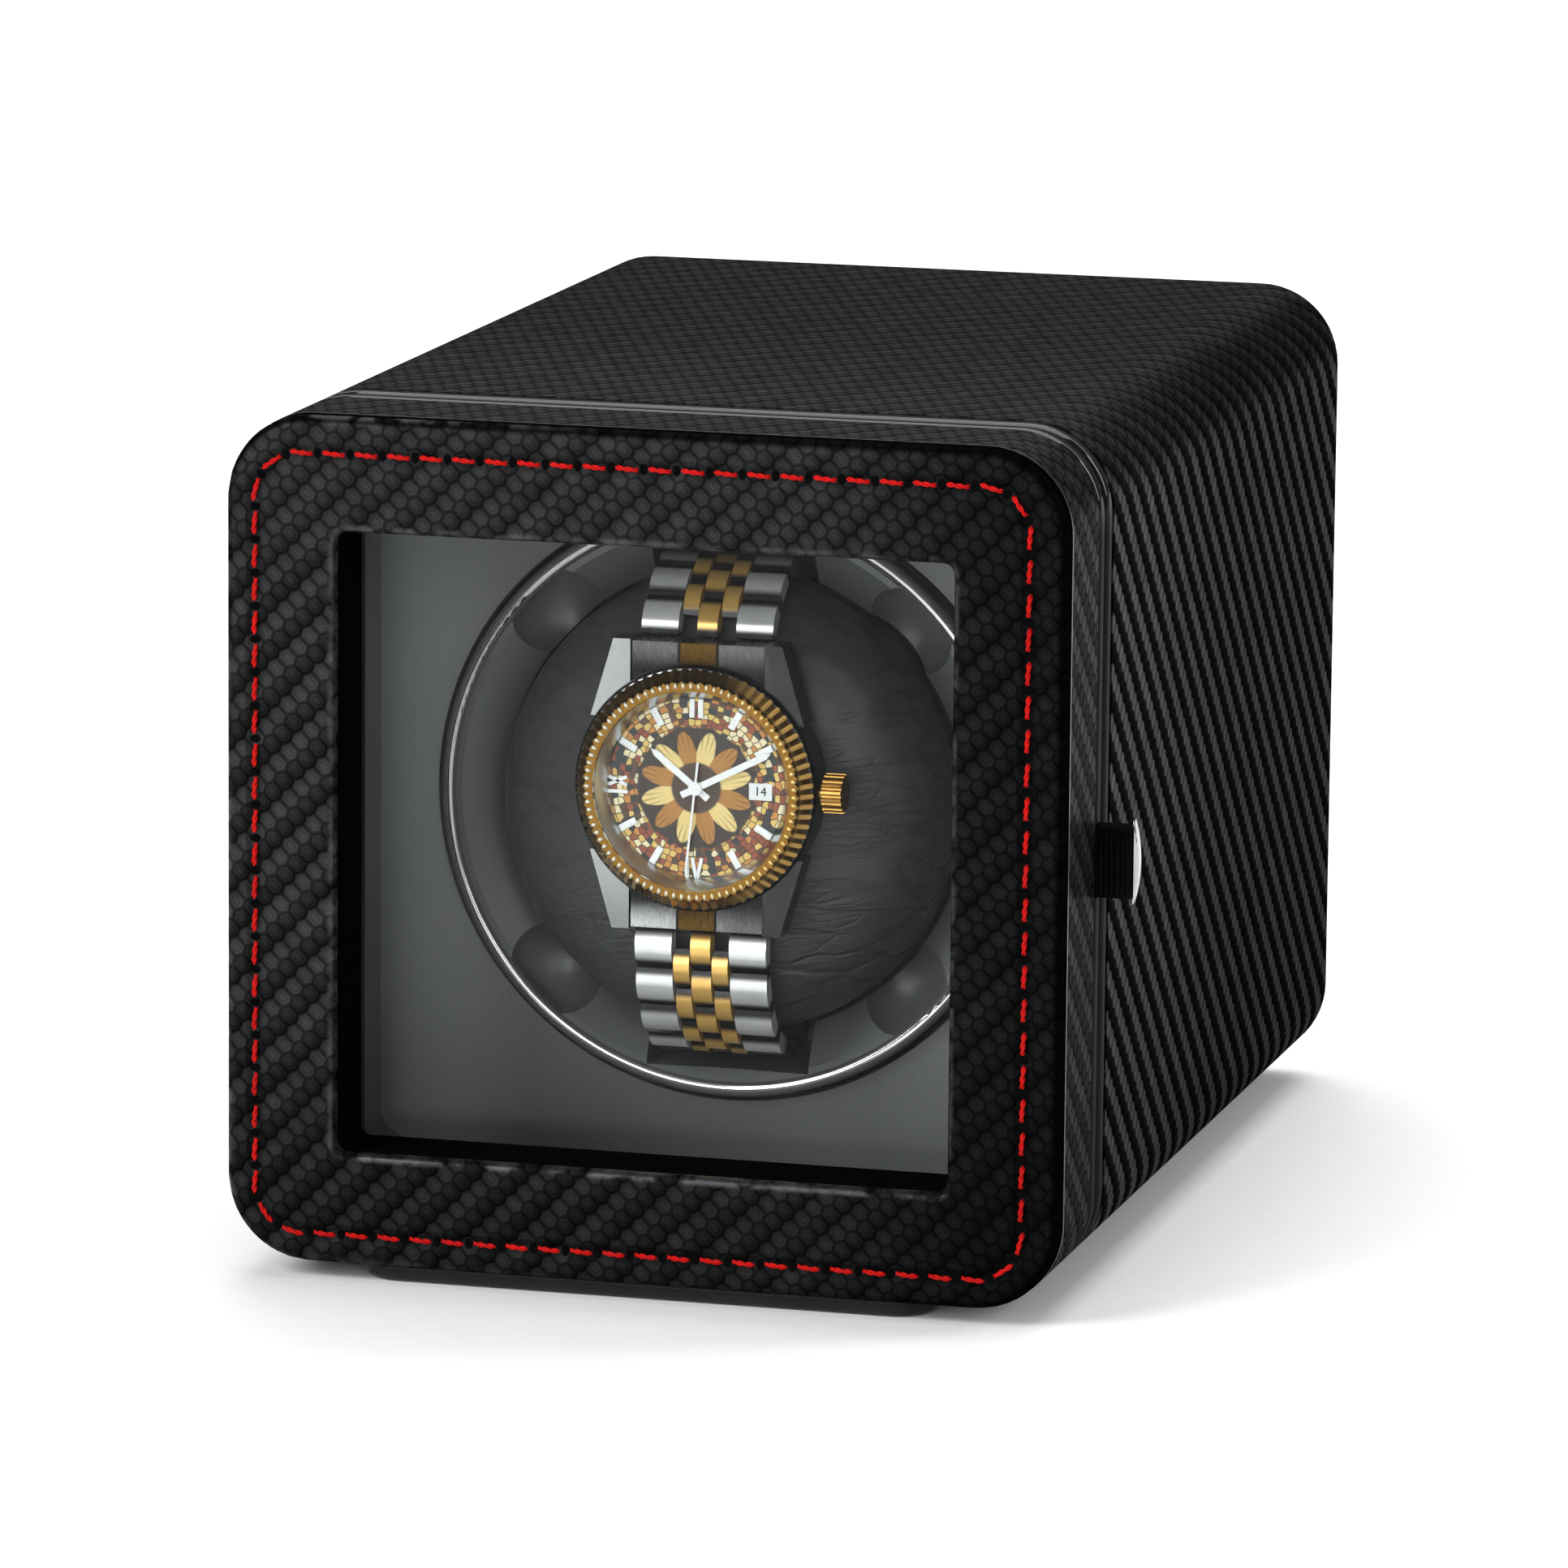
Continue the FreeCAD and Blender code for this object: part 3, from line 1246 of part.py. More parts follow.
formed("bracelet_outer_links", Part.makeCompound(outer_links), y=cushion_y, z=middle)
formed("bracelet_centre_links", Part.makeCompound(centre_links), y=cushion_y, z=middle)

clasp_start = size.cushion_depth + size.loop_radius + size.link_thick / 2
clasp = Piece("bracelet_clasp", y=behind(clasp_start), z=middle)
clasp.add(size.clasp_thick, [box(-size.bracelet_width / 2, size.bracelet_width / 2,
                                 -size.clasp_length / 2, size.clasp_length / 2)])

# Every piece is checked before any is written
doc.recompute()
for thing in doc.Objects:
    if "Invalid" in thing.State or "Error" in thing.State:
        raise RuntimeError(f"{thing.Label} is {thing.State}")
for piece in pieces:
    if piece.Shape.isNull() or not piece.Shape.isValid():
        raise RuntimeError(f"{piece.Label} has no sound shape")
os.makedirs("parts", exist_ok=True)
for piece in pieces:
    piece.Shape.exportStep(f"parts/{piece.Label}.step")
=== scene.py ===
import math
import bmesh
import bpy
from mathutils import Matrix, Vector
from mathutils.bvhtree import BVHTree
from mathutils.kdtree import KDTree


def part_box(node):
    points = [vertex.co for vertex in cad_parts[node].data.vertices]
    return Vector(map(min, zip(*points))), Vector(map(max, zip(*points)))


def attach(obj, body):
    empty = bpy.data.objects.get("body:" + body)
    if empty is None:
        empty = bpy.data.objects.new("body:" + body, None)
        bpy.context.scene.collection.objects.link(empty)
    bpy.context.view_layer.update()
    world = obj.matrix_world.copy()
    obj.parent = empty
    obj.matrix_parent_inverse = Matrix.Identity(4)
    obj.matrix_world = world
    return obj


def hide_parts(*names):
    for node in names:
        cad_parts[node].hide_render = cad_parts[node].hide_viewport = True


# A leather-covered watch winder box with a glazed door. X runs to the right, Y from the door to the back,
# Z up, in metres, with the origin on the resting face of the base pad.
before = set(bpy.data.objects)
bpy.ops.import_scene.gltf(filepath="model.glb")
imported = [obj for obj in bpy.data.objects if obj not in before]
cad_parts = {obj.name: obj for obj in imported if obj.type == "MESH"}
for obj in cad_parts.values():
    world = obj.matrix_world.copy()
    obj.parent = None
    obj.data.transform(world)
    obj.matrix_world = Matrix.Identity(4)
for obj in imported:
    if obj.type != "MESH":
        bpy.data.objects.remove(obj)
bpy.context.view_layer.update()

# Camera: above and to the right of the door, far off with a long lens, so that the box shows little
# perspective. It is turned a little about its own axis.
bpy.ops.object.select_all(action="DESELECT")
bpy.ops.object.camera_add()
camera = bpy.context.object
camera.name = "camera"
camera.data.sensor_width = 36
camera.data.lens = 230.3
camera.data.clip_start = 0.1
camera.data.clip_end = 50
camera_yaw = math.radians(15.006)
camera_pitch = math.radians(10.6)
camera_roll = math.radians(0.535)
camera_place = (0.3862, -1.4531, 0.3413)
camera_aim = Matrix.Rotation(camera_yaw, 4, "Z") @ Matrix.Rotation(math.pi / 2 - camera_pitch, 4, "X")
camera_turn = camera_aim @ Matrix.Rotation(camera_roll, 4, "Z")
camera.matrix_world = Matrix.Translation(camera_place) @ camera_turn
bpy.context.scene.camera = camera
bpy.context.scene.view_settings.view_transform = "Standard"


# Floor: a sweep of plain white paper under the box, wide enough to fill the view. Six soft boxes stand round
# it, and a dim white room gives the light between them. It is the first piece with a finish, so the tools
# for finishes are made here.
class Signal:
    """One socket of a material. Sums and products of Signals add the Math nodes that work them out."""

    def __init__(self, tree, socket):
        self.tree = tree
        self.socket = socket

    def node(self, kind, inputs, output=0, **settings):
        """Adds a node, sets it up, feeds its sockets and gives the Signal of one of its outputs."""
        made = self.tree.nodes.new("ShaderNode" + kind)
        for name, value in settings.items():
            setattr(made, name, value)
        for place, value in inputs.items():
            if isinstance(value, Signal):
                self.tree.links.new(value.socket, made.inputs[place])
            else:
                made.inputs[place].default_value = value
        return Signal(self.tree, made.outputs[output])

    def maths(self, operation, *others):
        """The outcome of a Math node with this Signal as its first value."""
        return self.node("Math", dict(enumerate((self, *others))), operation=operation)

    def __add__(self, other):
        return self.maths("ADD", other)

    def __radd__(self, other):
        return self.maths("ADD", other)

    def __sub__(self, other):
        return self.maths("SUBTRACT", other)

    def __rsub__(self, other):
        return self.node("Math", {0: other, 1: self}, operation="SUBTRACT")

    def __mul__(self, other):
        return self.maths("MULTIPLY", other)

    def __rmul__(self, other):
        return self.maths("MULTIPLY", other)

    def __truediv__(self, other):
        return self.maths("DIVIDE", other)

    def __rtruediv__(self, other):
        return self.node("Math", {0: other, 1: self}, operation="DIVIDE")

    def between(self, low, high):
        """0 below low, 1 above high, and smooth from one to the other."""
        steps = {"Value": self, "From Min": low, "From Max": high}
        return self.node("MapRange", steps, interpolation_type="SMOOTHSTEP")

    def part(self, axis):
        """One of the three numbers of a place."""
        return self.node("SeparateXYZ", {0: self}, output="XYZ".index(axis))

    def noise(self, size, detail=2.0, rough=0.5):
        """Cloudy noise whose lumps are about this size, in metres."""
        lumps = {"Vector": self, "Scale": 1 / size, "Detail": detail, "Roughness": rough}
        return self.node("TexNoise", lumps)

    def tint(self, low, high):
        """One colour where the Signal is 0, another where it is 1."""
        return self.node("Mix", {0: self, 6: low, 7: high}, output=2, data_type="RGBA")

    def bump(self, depth, strength=1.0):
        """A surface normal for heights from 0 to 1, this deep in metres."""
        return self.node("Bump", {"Height": self, "Distance": depth, "Strength": strength})

    def into(self, shader, socket):
        """Feeds the Signal to a socket of a shader."""
        self.tree.links.new(self.socket, shader.inputs[socket])


def grey(level, warmth=0.0):
    """A grey by its level, redder with warmth above 0 and bluer below."""
    return (level * (1 + warmth), level, level * (1 - warmth), 1)


def finish(name, **fixed):
    """A new material, its shader with the sockets that are the same all over, and its coordinates."""
    material = bpy.data.materials.new(name)
    material.use_nodes = True
    tree = material.node_tree
    shader = tree.nodes["Principled BSDF"]
    for socket, value in fixed.items():
        shader.inputs[socket.replace("_", " ")].default_value = value
    place = Signal(tree, tree.nodes.new("ShaderNodeTexCoord").outputs["Object"])
    return material, shader, place


def dress(material, *names):
    """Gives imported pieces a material."""
    for name in names:
        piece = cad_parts[name]
        piece.data.materials.clear()
        piece.data.materials.append(material)


floor_size = 8
floor_middle = (0, 1, 0)
bpy.ops.object.select_all(action="DESELECT")
bpy.ops.mesh.primitive_plane_add(size=floor_size, location=floor_middle)
floor = bpy.context.object
floor.name = "floor"
paper, paper_shader, paper_place = finish("paper", Specular_IOR_Level=0.1)
paper_fibre = paper_place.noise(0.004)
paper_fibre.tint(grey(0.86), grey(0.9)).into(paper_shader, "Base Color")
(0.7 + 0.2 * paper_fibre).into(paper_shader, "Roughness")
floor.data.materials.append(paper)

room = bpy.data.worlds.new("room")
room.use_nodes = True
room.node_tree.nodes["Background"].inputs["Color"].default_value = (1, 1, 1, 1)
room.node_tree.nodes["Background"].inputs["Strength"].default_value = 0.12
bpy.context.scene.world = room


def lamp(name, place, aim, wide, tall, power):
    """A soft box at a place, turned to face a point."""
    bpy.ops.object.select_all(action="DESELECT")
    bpy.ops.object.light_add(type="AREA", location=place)
    soft = bpy.context.object
    soft.name = name
    soft.data.shape = "RECTANGLE"
    soft.data.size = wide
    soft.data.size_y = tall
    soft.data.energy = power
    soft.rotation_mode = "QUATERNION"
    soft.rotation_quaternion = (Vector(aim) - Vector(place)).to_track_quat("-Z", "Y")


box_middle = (0, 0, 0.065)
floor_behind = (0.2, 1.9, 0)
lamp("key_lamp", (-1.1, -1.3, 1.3), box_middle, wide=1.0, tall=1.0, power=36)
lamp("top_lamp", (0.0, 0.5, 1.9), box_middle, wide=1.6, tall=1.6, power=34)
lamp("side_lamp", (1.7, 0.9, 0.9), box_middle, wide=0.5, tall=1.3, power=22)
lamp("front_lamp", (-0.25, -2.3, 0.5), box_middle, wide=1.3, tall=1.0, power=20)
lamp("right_lamp", (1.1, -1.9, 0.6), box_middle, wide=0.3, tall=0.8, power=6)
lamp("far_lamp", (0.2, 1.9, 1.5), floor_behind, wide=3.0, tall=1.0, power=30)

# Carcass: the box's walls, the door's frame, the cleat behind the fascia and the corner posts are sawn
# fibreboard, dyed black through, glued up and then covered.
millimetre = 0.001
dark_board = (0.014, 0.011, 0.009, 1)
pale_board = (0.05, 0.04, 0.032, 1)
board, board_shader, board_place = finish("fibreboard", Specular_IOR_Level=0.2)
chips = board_place.noise(0.0012, 4)
streaks = board_place.noise(0.012, 3)
(0.6 * chips + 0.4 * streaks).between(0.3, 0.7).tint(dark_board, pale_board).into(board_shader, "Base Color")
(0.7 + 0.25 * chips).into(board_shader, "Roughness")
chips.bump(0.1 * millimetre, 0.5).into(board_shader, "Normal")
dress(board, "case_shell", "fascia_cleat", "corner_posts", "door_frame")

# Case leather: one sheet of black embossed leather wrapped round the box, and a narrow band of it round the
# door. Rows of hexagonal pads run slantwise over it, every second row raised. It is glued down, and a bright
# welt is folded in it where the band meets the door's face.
wrap_low, wrap_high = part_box("case_leather")
middle = (wrap_low.z + wrap_high.z) / 2
case_half = (wrap_high.x - wrap_low.x) / 2
case_corner = 12.5 * millimetre
case_top = middle + case_half


def round_the_box(place):
    """How far along the wrapped sheet a point lies: up the right side, over the top, down and below."""
    straight = case_half - case_corner
    x = place.part("X")
    z = place.part("Z") - middle
    near_x = x.node("Clamp", {0: x, 1: -straight, 2: straight})
    near_z = z.node("Clamp", {0: z, 1: -straight, 2: straight})
    turn = (z - near_z).maths("ARCTAN2", x - near_x)
    below = z.maths("LESS_THAN", -straight - 0.01 * millimetre)
    left = x.maths("LESS_THAN", 0.0) * (1 - below)
    return turn * case_corner + (1 - 2 * below) * (straight - near_x) - (1 - 2 * left) * (straight - near_z)


def outside_square(place, half, corner):
    """How far a point lies outside a rounded square round the box's middle."""
    over_x = (place.part("X").maths("ABSOLUTE") - (half - corner)).maths("MAXIMUM", 0.0)
    over_z = ((place.part("Z") - middle).maths("ABSOLUTE") - (half - corner)).maths("MAXIMUM", 0.0)
    return (over_x * over_x + over_z * over_z).maths("SQRT") - corner


def to_the_back(place):
    """How far back on the sheet a point lies, also where it is turned in over the rear edge."""
    return place.part("Y") - outside_square(place, case_half, case_corner)


def pads(along, across, cell, row):
    """Rows of hexagonal pads: 1 on every second row, how far off a pad's edge, and its lean."""
    rise = row / cell
    first_u = (along / cell).maths("FRACT") - 0.5
    first_v = ((across / (2 * row)).maths("FRACT") - 0.5) * (2 * rise)
    second_u = (along / cell + 0.5).maths("FRACT") - 0.5
    second_v = ((across / (2 * row) + 0.5).maths("FRACT") - 0.5) * (2 * rise)
    first = first_u * first_u + first_v * first_v
    second = second_u * second_u + second_v * second_v
    odd = (second - first).between(-0.03, 0.03)
    to_other_row = (second - first).maths("ABSOLUTE") / (2 * math.sqrt(0.25 + rise * rise))
    to_next = 0.5 - odd * first_u.maths("ABSOLUTE") - (1 - odd) * second_u.maths("ABSOLUTE")
    lean = odd * first_v - (1 - odd) * second_v
    return odd, to_other_row.maths("MINIMUM", to_next), lean


def leather(name, sheet_u, sheet_v, angle, cell, row, relief, painted_light, sheen, light):
    """Embossed leather: rows of pads at an angle over a sheet, crisp by place, with painted light by place.
    """
    material, shader, place = finish(name, Specular_IOR_Level=0.0, Coat_Roughness=0.34)
    stray = (place.noise(0.003, 1) - 0.5) * (0.3 * millimetre)
    u = sheet_u(place) + stray
    v = sheet_v(place) - stray
    along = u * math.cos(angle) + v * math.sin(angle)
    across = v * math.cos(angle) - u * math.sin(angle)
    odd, edge, lean = pads(along, across, cell, row)
    crisp = 0.5 + (odd - 0.5) * relief(place)
    inside = 0.35 + 0.65 * edge.between(0.0, 0.2)
    ring = 1 - (edge - 0.27).maths("ABSOLUTE").between(0.0, 0.07)
    grain = place.noise(0.00035, 3)
    # Random mottling, times the painted light and shade given for each place.
    mottle_and_painted_light = (0.5 + place.noise(0.004, 3)) * painted_light(place)
    height = inside * (0.5 + 0.3 * crisp) + 1.3 * edge - 0.2 * ring - 0.35 * lean + 0.08 * grain
    # Painted shade: dark at each pad's edge and inner ring, on its low side, and on every second, lower row.
    shade = inside * (0.06 + 0.94 * crisp - 0.4 * lean) - 0.12 * ring
    (shade * mottle_and_painted_light).tint(grey(0.001, -0.05), grey(light, -0.05)).into(shader, "Base Color")
    (0.72 - 0.2 * crisp + 0.12 * grain).into(shader, "Roughness")
    shine = inside * crisp * mottle_and_painted_light * sheen
    shine.into(shader, "Coat Weight")
    height.bump(0.7 * millimetre, 1.0).into(shader, "Normal")
    return material, shader, place, height, shine


def pressed_case(place):
    """The rows are ironed flatter on the lid and on the narrow band round the door, in bump and painted
    shade.
    """
    lid = place.part("Z").between(case_top - 14 * millimetre, case_top)
    band = 1 - place.part("Y").between(-74 * millimetre, -70 * millimetre)
    return (0.9 - 0.78 * lid) * (1 - 0.6 * band)


def case_painted_light(place):
    """Painted light on the hide: lighter higher up, on the lid and towards the front, with painted shade at
    the band's front edge.
    """
    high = place.part("Z").between(0.0, case_top)
    lid = place.part("Z").between(case_top - 3 * millimetre, case_top)
    front = 1 - place.part("Y").between(-90 * millimetre, 30 * millimetre)
    painted_groove_shade = place.part("Y").between(-89.3 * millimetre, -87.6 * millimetre)
    return (0.36 + 0.15 * high + 0.45 * front + 0.55 * lid) * painted_groove_shade


case_hide, case_shader, case_place, _, case_shine = leather(
    "case_leather", to_the_back, round_the_box, angle=math.radians(-44), cell=2.5 * millimetre,
    row=2.65 * millimetre, relief=pressed_case, painted_light=case_painted_light, sheen=0.24, light=0.026)
welt_y = -88.5 * millimetre
from_welt = (case_place.part("Y") - welt_y).maths("ABSOLUTE")
welt = 1 - from_welt.between(0.15 * millimetre, 0.35 * millimetre)
(case_shine + 0.9 * welt).into(case_shader, "Coat Weight")
dress(case_hide, "case_leather", "door_band_leather")

# Beads: the facing edges of the box and the door are closed by mouldings in polished black lacquer, with a
# faint ripple from the polishing.
bead, bead_shader, bead_place = finish("polished_black", Specular_IOR_Level=0.0, Coat_Roughness=0.1)
ripple = bead_place.noise(0.006, 2)
dust = bead_place.noise(0.0007, 2)
ripple.tint(grey(0.004), grey(0.009)).into(bead_shader, "Base Color")
(0.16 + 0.1 * dust).into(bead_shader, "Roughness")
bead_top = bead_place.part("Z").between(case_top - 16 * millimetre, case_top - 2 * millimetre)
(0.09 + 0.55 * bead_top).into(bead_shader, "Coat Weight")
ripple.bump(0.06 * millimetre, 0.3).into(bead_shader, "Normal")
dress(bead, "case_trim", "door_trim")

# Base pad: a thin board under the box, covered in black felt with matted fibres. It is glued on, and the box
# rests on it.
felt, felt_shader, felt_place = finish("black_felt", Specular_IOR_Level=0.15, Sheen_Weight=0.15)
fibre = felt_place.noise(0.0006, 4)
mat = felt_place.noise(0.01, 2)
(0.5 * fibre + 0.5 * mat).tint(grey(0.004), grey(0.016)).into(felt_shader, "Base Color")
(0.8 + 0.15 * fibre).into(felt_shader, "Roughness")
fibre.bump(0.25 * millimetre, 0.7).into(felt_shader, "Normal")
dress(felt, "base_pad")

# Compartment lining: short grey pile on a thin backing, glued to the walls in front of the fascia. It is
# brushed, so that it lies in patches.
pile, pile_shader, pile_place = finish(
    "grey_pile", Specular_IOR_Level=0.1, Sheen_Weight=0.3, Sheen_Roughness=0.5)
tuft = pile_place.noise(0.0005, 3)
brushed = pile_place.noise(0.015, 3)
(0.4 * tuft + 0.6 * brushed).tint(grey(0.05), grey(0.11)).into(pile_shader, "Base Color")
(0.8 + 0.15 * tuft).into(pile_shader, "Roughness")
tuft.bump(0.2 * millimetre, 0.6).into(pile_shader, "Normal")
dress(pile, "compartment_lining")

# Fascia: a flat satin grey panel across the compartment, with a round hole for the cup. It is glued to its
# cleat. It has painted light, lighter in a band at the left and a little towards the right, and its fine
# moulded grain is only seen in the highlights.
satin, satin_shader, satin_place = finish("satin_grey", Specular_IOR_Level=0.45)
speck = satin_place.noise(0.00035, 2)
cloud = satin_place.noise(0.04, 2)
fascia_painted_light_left = 1 - satin_place.part("X").between(-50 * millimetre, -29 * millimetre)
lit = satin_place.part("X").between(0.0, 40 * millimetre)
satin_tone = 0.06 * speck + 0.1 * cloud + 0.84 * fascia_painted_light_left + 0.14 * lit
satin_tone.tint(grey(0.07, -0.02), grey(0.255, -0.02)).into(satin_shader, "Base Color")
(0.36 + 0.08 * speck).into(satin_shader, "Roughness")
speck.bump(0.01 * millimetre, 0.2).into(satin_shader, "Normal")
dress(satin, "fascia_panel")

# Black mouldings: the back panel, drive plate, bearing housing, power inlet, pane frame, knob
# and circuit parts are moulded black plastic with a fine spark-eroded grain.
moulding, moulding_shader, moulding_place = finish("black_moulding", Specular_IOR_Level=0.4)
eroded = moulding_place.noise(0.0004, 3)
flow = moulding_place.noise(0.02, 2)
(0.4 * eroded + 0.6 * flow).tint(grey(0.006), grey(0.014)).into(moulding_shader, "Base Color")
(0.42 + 0.16 * eroded).into(moulding_shader, "Roughness")
eroded.bump(0.05 * millimetre, 0.5).into(moulding_shader, "Normal")
dress(moulding, "back_panel", "drive_plate", "bearing_housing", "board_components", "power_jack",
      "pane_retainer", "mode_knob")

# Window liner: the reveal behind the door's face is lined with dull black paper, glued to the frame, so that
# it takes no light.
dull, dull_shader, dull_place = finish("dull_black_paper", Specular_IOR_Level=0.0)
fleck = dull_place.noise(0.0006, 3)
fleck.tint(grey(0.0008, -0.1), grey(0.0035, -0.1)).into(dull_shader, "Base Color")
(0.75 + 0.2 * fleck).into(dull_shader, "Roughness")
fleck.bump(0.05 * millimetre, 0.4).into(dull_shader, "Normal")
dress(dull, "window_liner")


# Drive metals: turned and rolled steel for the screws, shafts, hinges and the geared motor, nickel plate on
# the catch, and bronze for the bushes and the pinion. Fine lines from drawing and turning run over all three.
def drawn_metal(name, dark, light, rough, line):
    """Bare metal with fine drawn lines and a little tarnish."""
    material, shader, place = finish(name, Metallic=1.0)
    stretched = place.node("Mapping", {"Vector": place, "Scale": (1.0, 12.0, 1.0)})
    lines = stretched.noise(line, 3)
    tarnish = place.noise(0.01, 3)
    (0.5 * lines + 0.5 * tarnish).tint(dark, light).into(shader, "Base Color")
    (rough + 0.16 * lines).into(shader, "Roughness")
    lines.bump(0.01 * millimetre, 0.3).into(shader, "Normal")
    return material


steel = drawn_metal("bright_steel", grey(0.42), grey(0.62), rough=0.22, line=0.0006)
dress(steel, "back_screws", "drive_plate_screws", "bearing_screws", "motor_gearbox", "motor_can",
      "motor_screws", "mode_switch", "case_hinge_leaves", "hinge_pins", "retainer_screws",
      "door_hinge_leaves", "rotor_shaft", "shaft_clip", "motor_shaft", "mode_spindle")
nickel = drawn_metal("nickel_plate", grey(0.45, 0.03), grey(0.6, 0.03), rough=0.16, line=0.0015)
dress(nickel, "case_magnets", "door_strikes")
dark_bronze = (0.24, 0.13, 0.05, 1)
pale_bronze = (0.46, 0.28, 0.13, 1)
bronze = drawn_metal("sintered_bronze", dark_bronze, pale_bronze, rough=0.34, line=0.0005)
dress(bronze, "shaft_bushes", "board_standoffs", "motor_pinion")

# Large gear: moulded in natural acetal, a slightly see-through white with faint flow marks. It is pressed on
# the cup's shaft.
acetal_cream = (0.62, 0.60, 0.54, 1)
acetal_white = (0.74, 0.72, 0.67, 1)
acetal, acetal_shader, acetal_place = finish(
    "natural_acetal", Subsurface_Weight=0.15, Subsurface_Scale=0.002)
melt = acetal_place.noise(0.008, 3)
melt.tint(acetal_cream, acetal_white).into(acetal_shader, "Base Color")
(0.32 + 0.14 * melt).into(acetal_shader, "Roughness")
dress(acetal, "drive_gear")

# Circuit board: a glass-fibre board in green solder mask, with a hint of copper tracks under it. It stands on
# four turned posts.
mask_green = (0.006, 0.05, 0.018, 1)
track_green = (0.02, 0.13, 0.05, 1)
mask, mask_shader, mask_place = finish("solder_mask", Coat_Weight=0.3)
upright = mask_place.node("Mapping", {"Vector": mask_place, "Rotation": (math.pi / 2, 0, 0)})
tracks = upright.node("TexBrick", {
    "Vector": upright, "Scale": 260.0, "Mortar Size": 0.03,
    "Color1": grey(0.0), "Color2": grey(0.15), "Mortar": grey(1.0)})
tracks.node("SeparateColor", {0: tracks}).tint(mask_green, track_green).into(mask_shader, "Base Color")
(0.3 + 0.1 * mask_place.noise(0.002)).into(mask_shader, "Roughness")
dress(mask, "control_board")

# Motor leads: two stranded wires between the board and the motor, soldered at both ends. Their insulation is
# red vinyl with a soft shine.
vinyl_dark = (0.28, 0.012, 0.01, 1)
vinyl_red = (0.42, 0.02, 0.016, 1)
vinyl, vinyl_shader, vinyl_place = finish("red_vinyl", Specular_IOR_Level=0.4)
scuff = vinyl_place.noise(0.003, 3)
scuff.tint(vinyl_dark, vinyl_red).into(vinyl_shader, "Base Color")
(0.35 + 0.2 * scuff).into(vinyl_shader, "Roughness")
dress(vinyl, "motor_leads")

# Door face: a padded panel of the same leather round the window, turned over the door's edge and sewn round
# with one line of red thread. The pads run up to the right, and the hide draws in along the seam.
face_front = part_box("door_face_leather")[0].y
seam_inset = 4.95 * millimetre
seam_shift = -0.4 * millimetre
seam_corner = 7.0 * millimetre
seam_half = case_half - seam_inset


def face_painted_light(place):
    """Painted light on the face: lighter up the left side and towards the top, with painted shade on its
    rolled outer rim.
    """
    left = 1 - place.part("X").between(20 * millimetre, 56 * millimetre)
    high = (place.part("Z") - middle).between(-56 * millimetre, -10 * millimetre)
    inset = (-1 * outside_square(place, case_half, case_corner)).between(0.5 * millimetre, 1.5 * millimetre)
    upper = (place.part("Z") - middle).between(0.0, 40 * millimetre)
    painted_rolled_shade = (1 - left).maths("MAXIMUM", upper) * (1 - inset)
    return (0.3 + 0.7 * left) * (0.55 + 0.45 * high) * (1 - 0.9 * painted_rolled_shade)


def crisp_face(place):
    """The rows stand out less towards the right and the top, where the panel is pulled tighter, in bump and
    painted shade.
    """
    right = place.part("X").between(-25 * millimetre, 45 * millimetre)
    high = (place.part("Z") - middle).between(30 * millimetre, 52 * millimetre)
    return (0.42 - 0.24 * right) * (1 - 0.55 * high)


def across_face(place):
    """How far to the right on the panel a point lies."""
    return place.part("X")


def up_face(place):
    """How far up on the panel a point lies."""
    return place.part("Z")


face_hide, face_hide_shader, face_place, face_hide_height, face_shine = leather(
    "face_leather", across_face, up_face, angle=math.radians(45), cell=2.4 * millimetre,
    row=2.5 * millimetre, relief=crisp_face, painted_light=face_painted_light, sheen=0.2, light=0.036)
window_half = 46.0 * millimetre
window_corner = 2.0 * millimetre
from_window = outside_square(face_place, window_half, window_corner).maths("ABSOLUTE")
from_rim = outside_square(face_place, case_half, case_corner).maths("ABSOLUTE")
on_left = 1 - face_place.part("X").between(-40 * millimetre, 0.0)
window_edge = 1 - from_window.between(0.3 * millimetre, 1.2 * millimetre)
rim_edge = on_left * (1 - from_rim.between(0.5 * millimetre, 1.8 * millimetre))
scuffed = face_place.noise(0.0035, 2).between(0.42, 0.62)
(face_shine + 0.9 * (window_edge + 0.35 * rim_edge) * scuffed).into(face_hide_shader, "Coat Weight")
back_to_middle = (-seam_shift, 0, -seam_shift)
seam_place = face_place.node("VectorMath", {0: face_place, 1: back_to_middle}, operation="ADD")
from_seam = outside_square(seam_place, seam_half, seam_corner).maths("ABSOLUTE")
drawn_in = from_seam.between(0.2 * millimetre, 1.6 * millimetre)
(face_hide_height * (0.25 + 0.75 * drawn_in) + drawn_in).bump(0.7 * millimetre, 1.0).into(
    face_hide_shader, "Normal")

seam_straight = 2 * (seam_half - seam_corner)
seam_bend = math.pi / 2 * seam_corner
seam_side = seam_straight + seam_bend
stitch_pitch = 4.85 * millimetre
stitch_count = round(4 * seam_side / stitch_pitch)
seam_step = 4 * seam_side / stitch_count


def on_seam(travel, lean=0.0, lift=0.0):
    """The place this far along the seam, clockwise from the left end of the top, turned and lifted."""
    side, rest = divmod(travel, seam_side)
    reach = seam_half - seam_corner
    if rest < seam_straight:
        spot = Vector((rest - reach, 0, seam_half))
        heading = 0.0
    else:
        heading = (rest - seam_straight) / seam_corner
        out = seam_corner * math.sin(heading)
        up = seam_corner * math.cos(heading)
        spot = Vector((reach + out, 0, reach + up))
    quarter = Matrix.Rotation(side * math.pi / 2, 4, "Y")
    turned = quarter @ Matrix.Translation(spot) @ Matrix.Rotation(heading + lean, 4, "Y")
    return Matrix.Translation((seam_shift, face_front - lift, middle + seam_shift)) @ turned


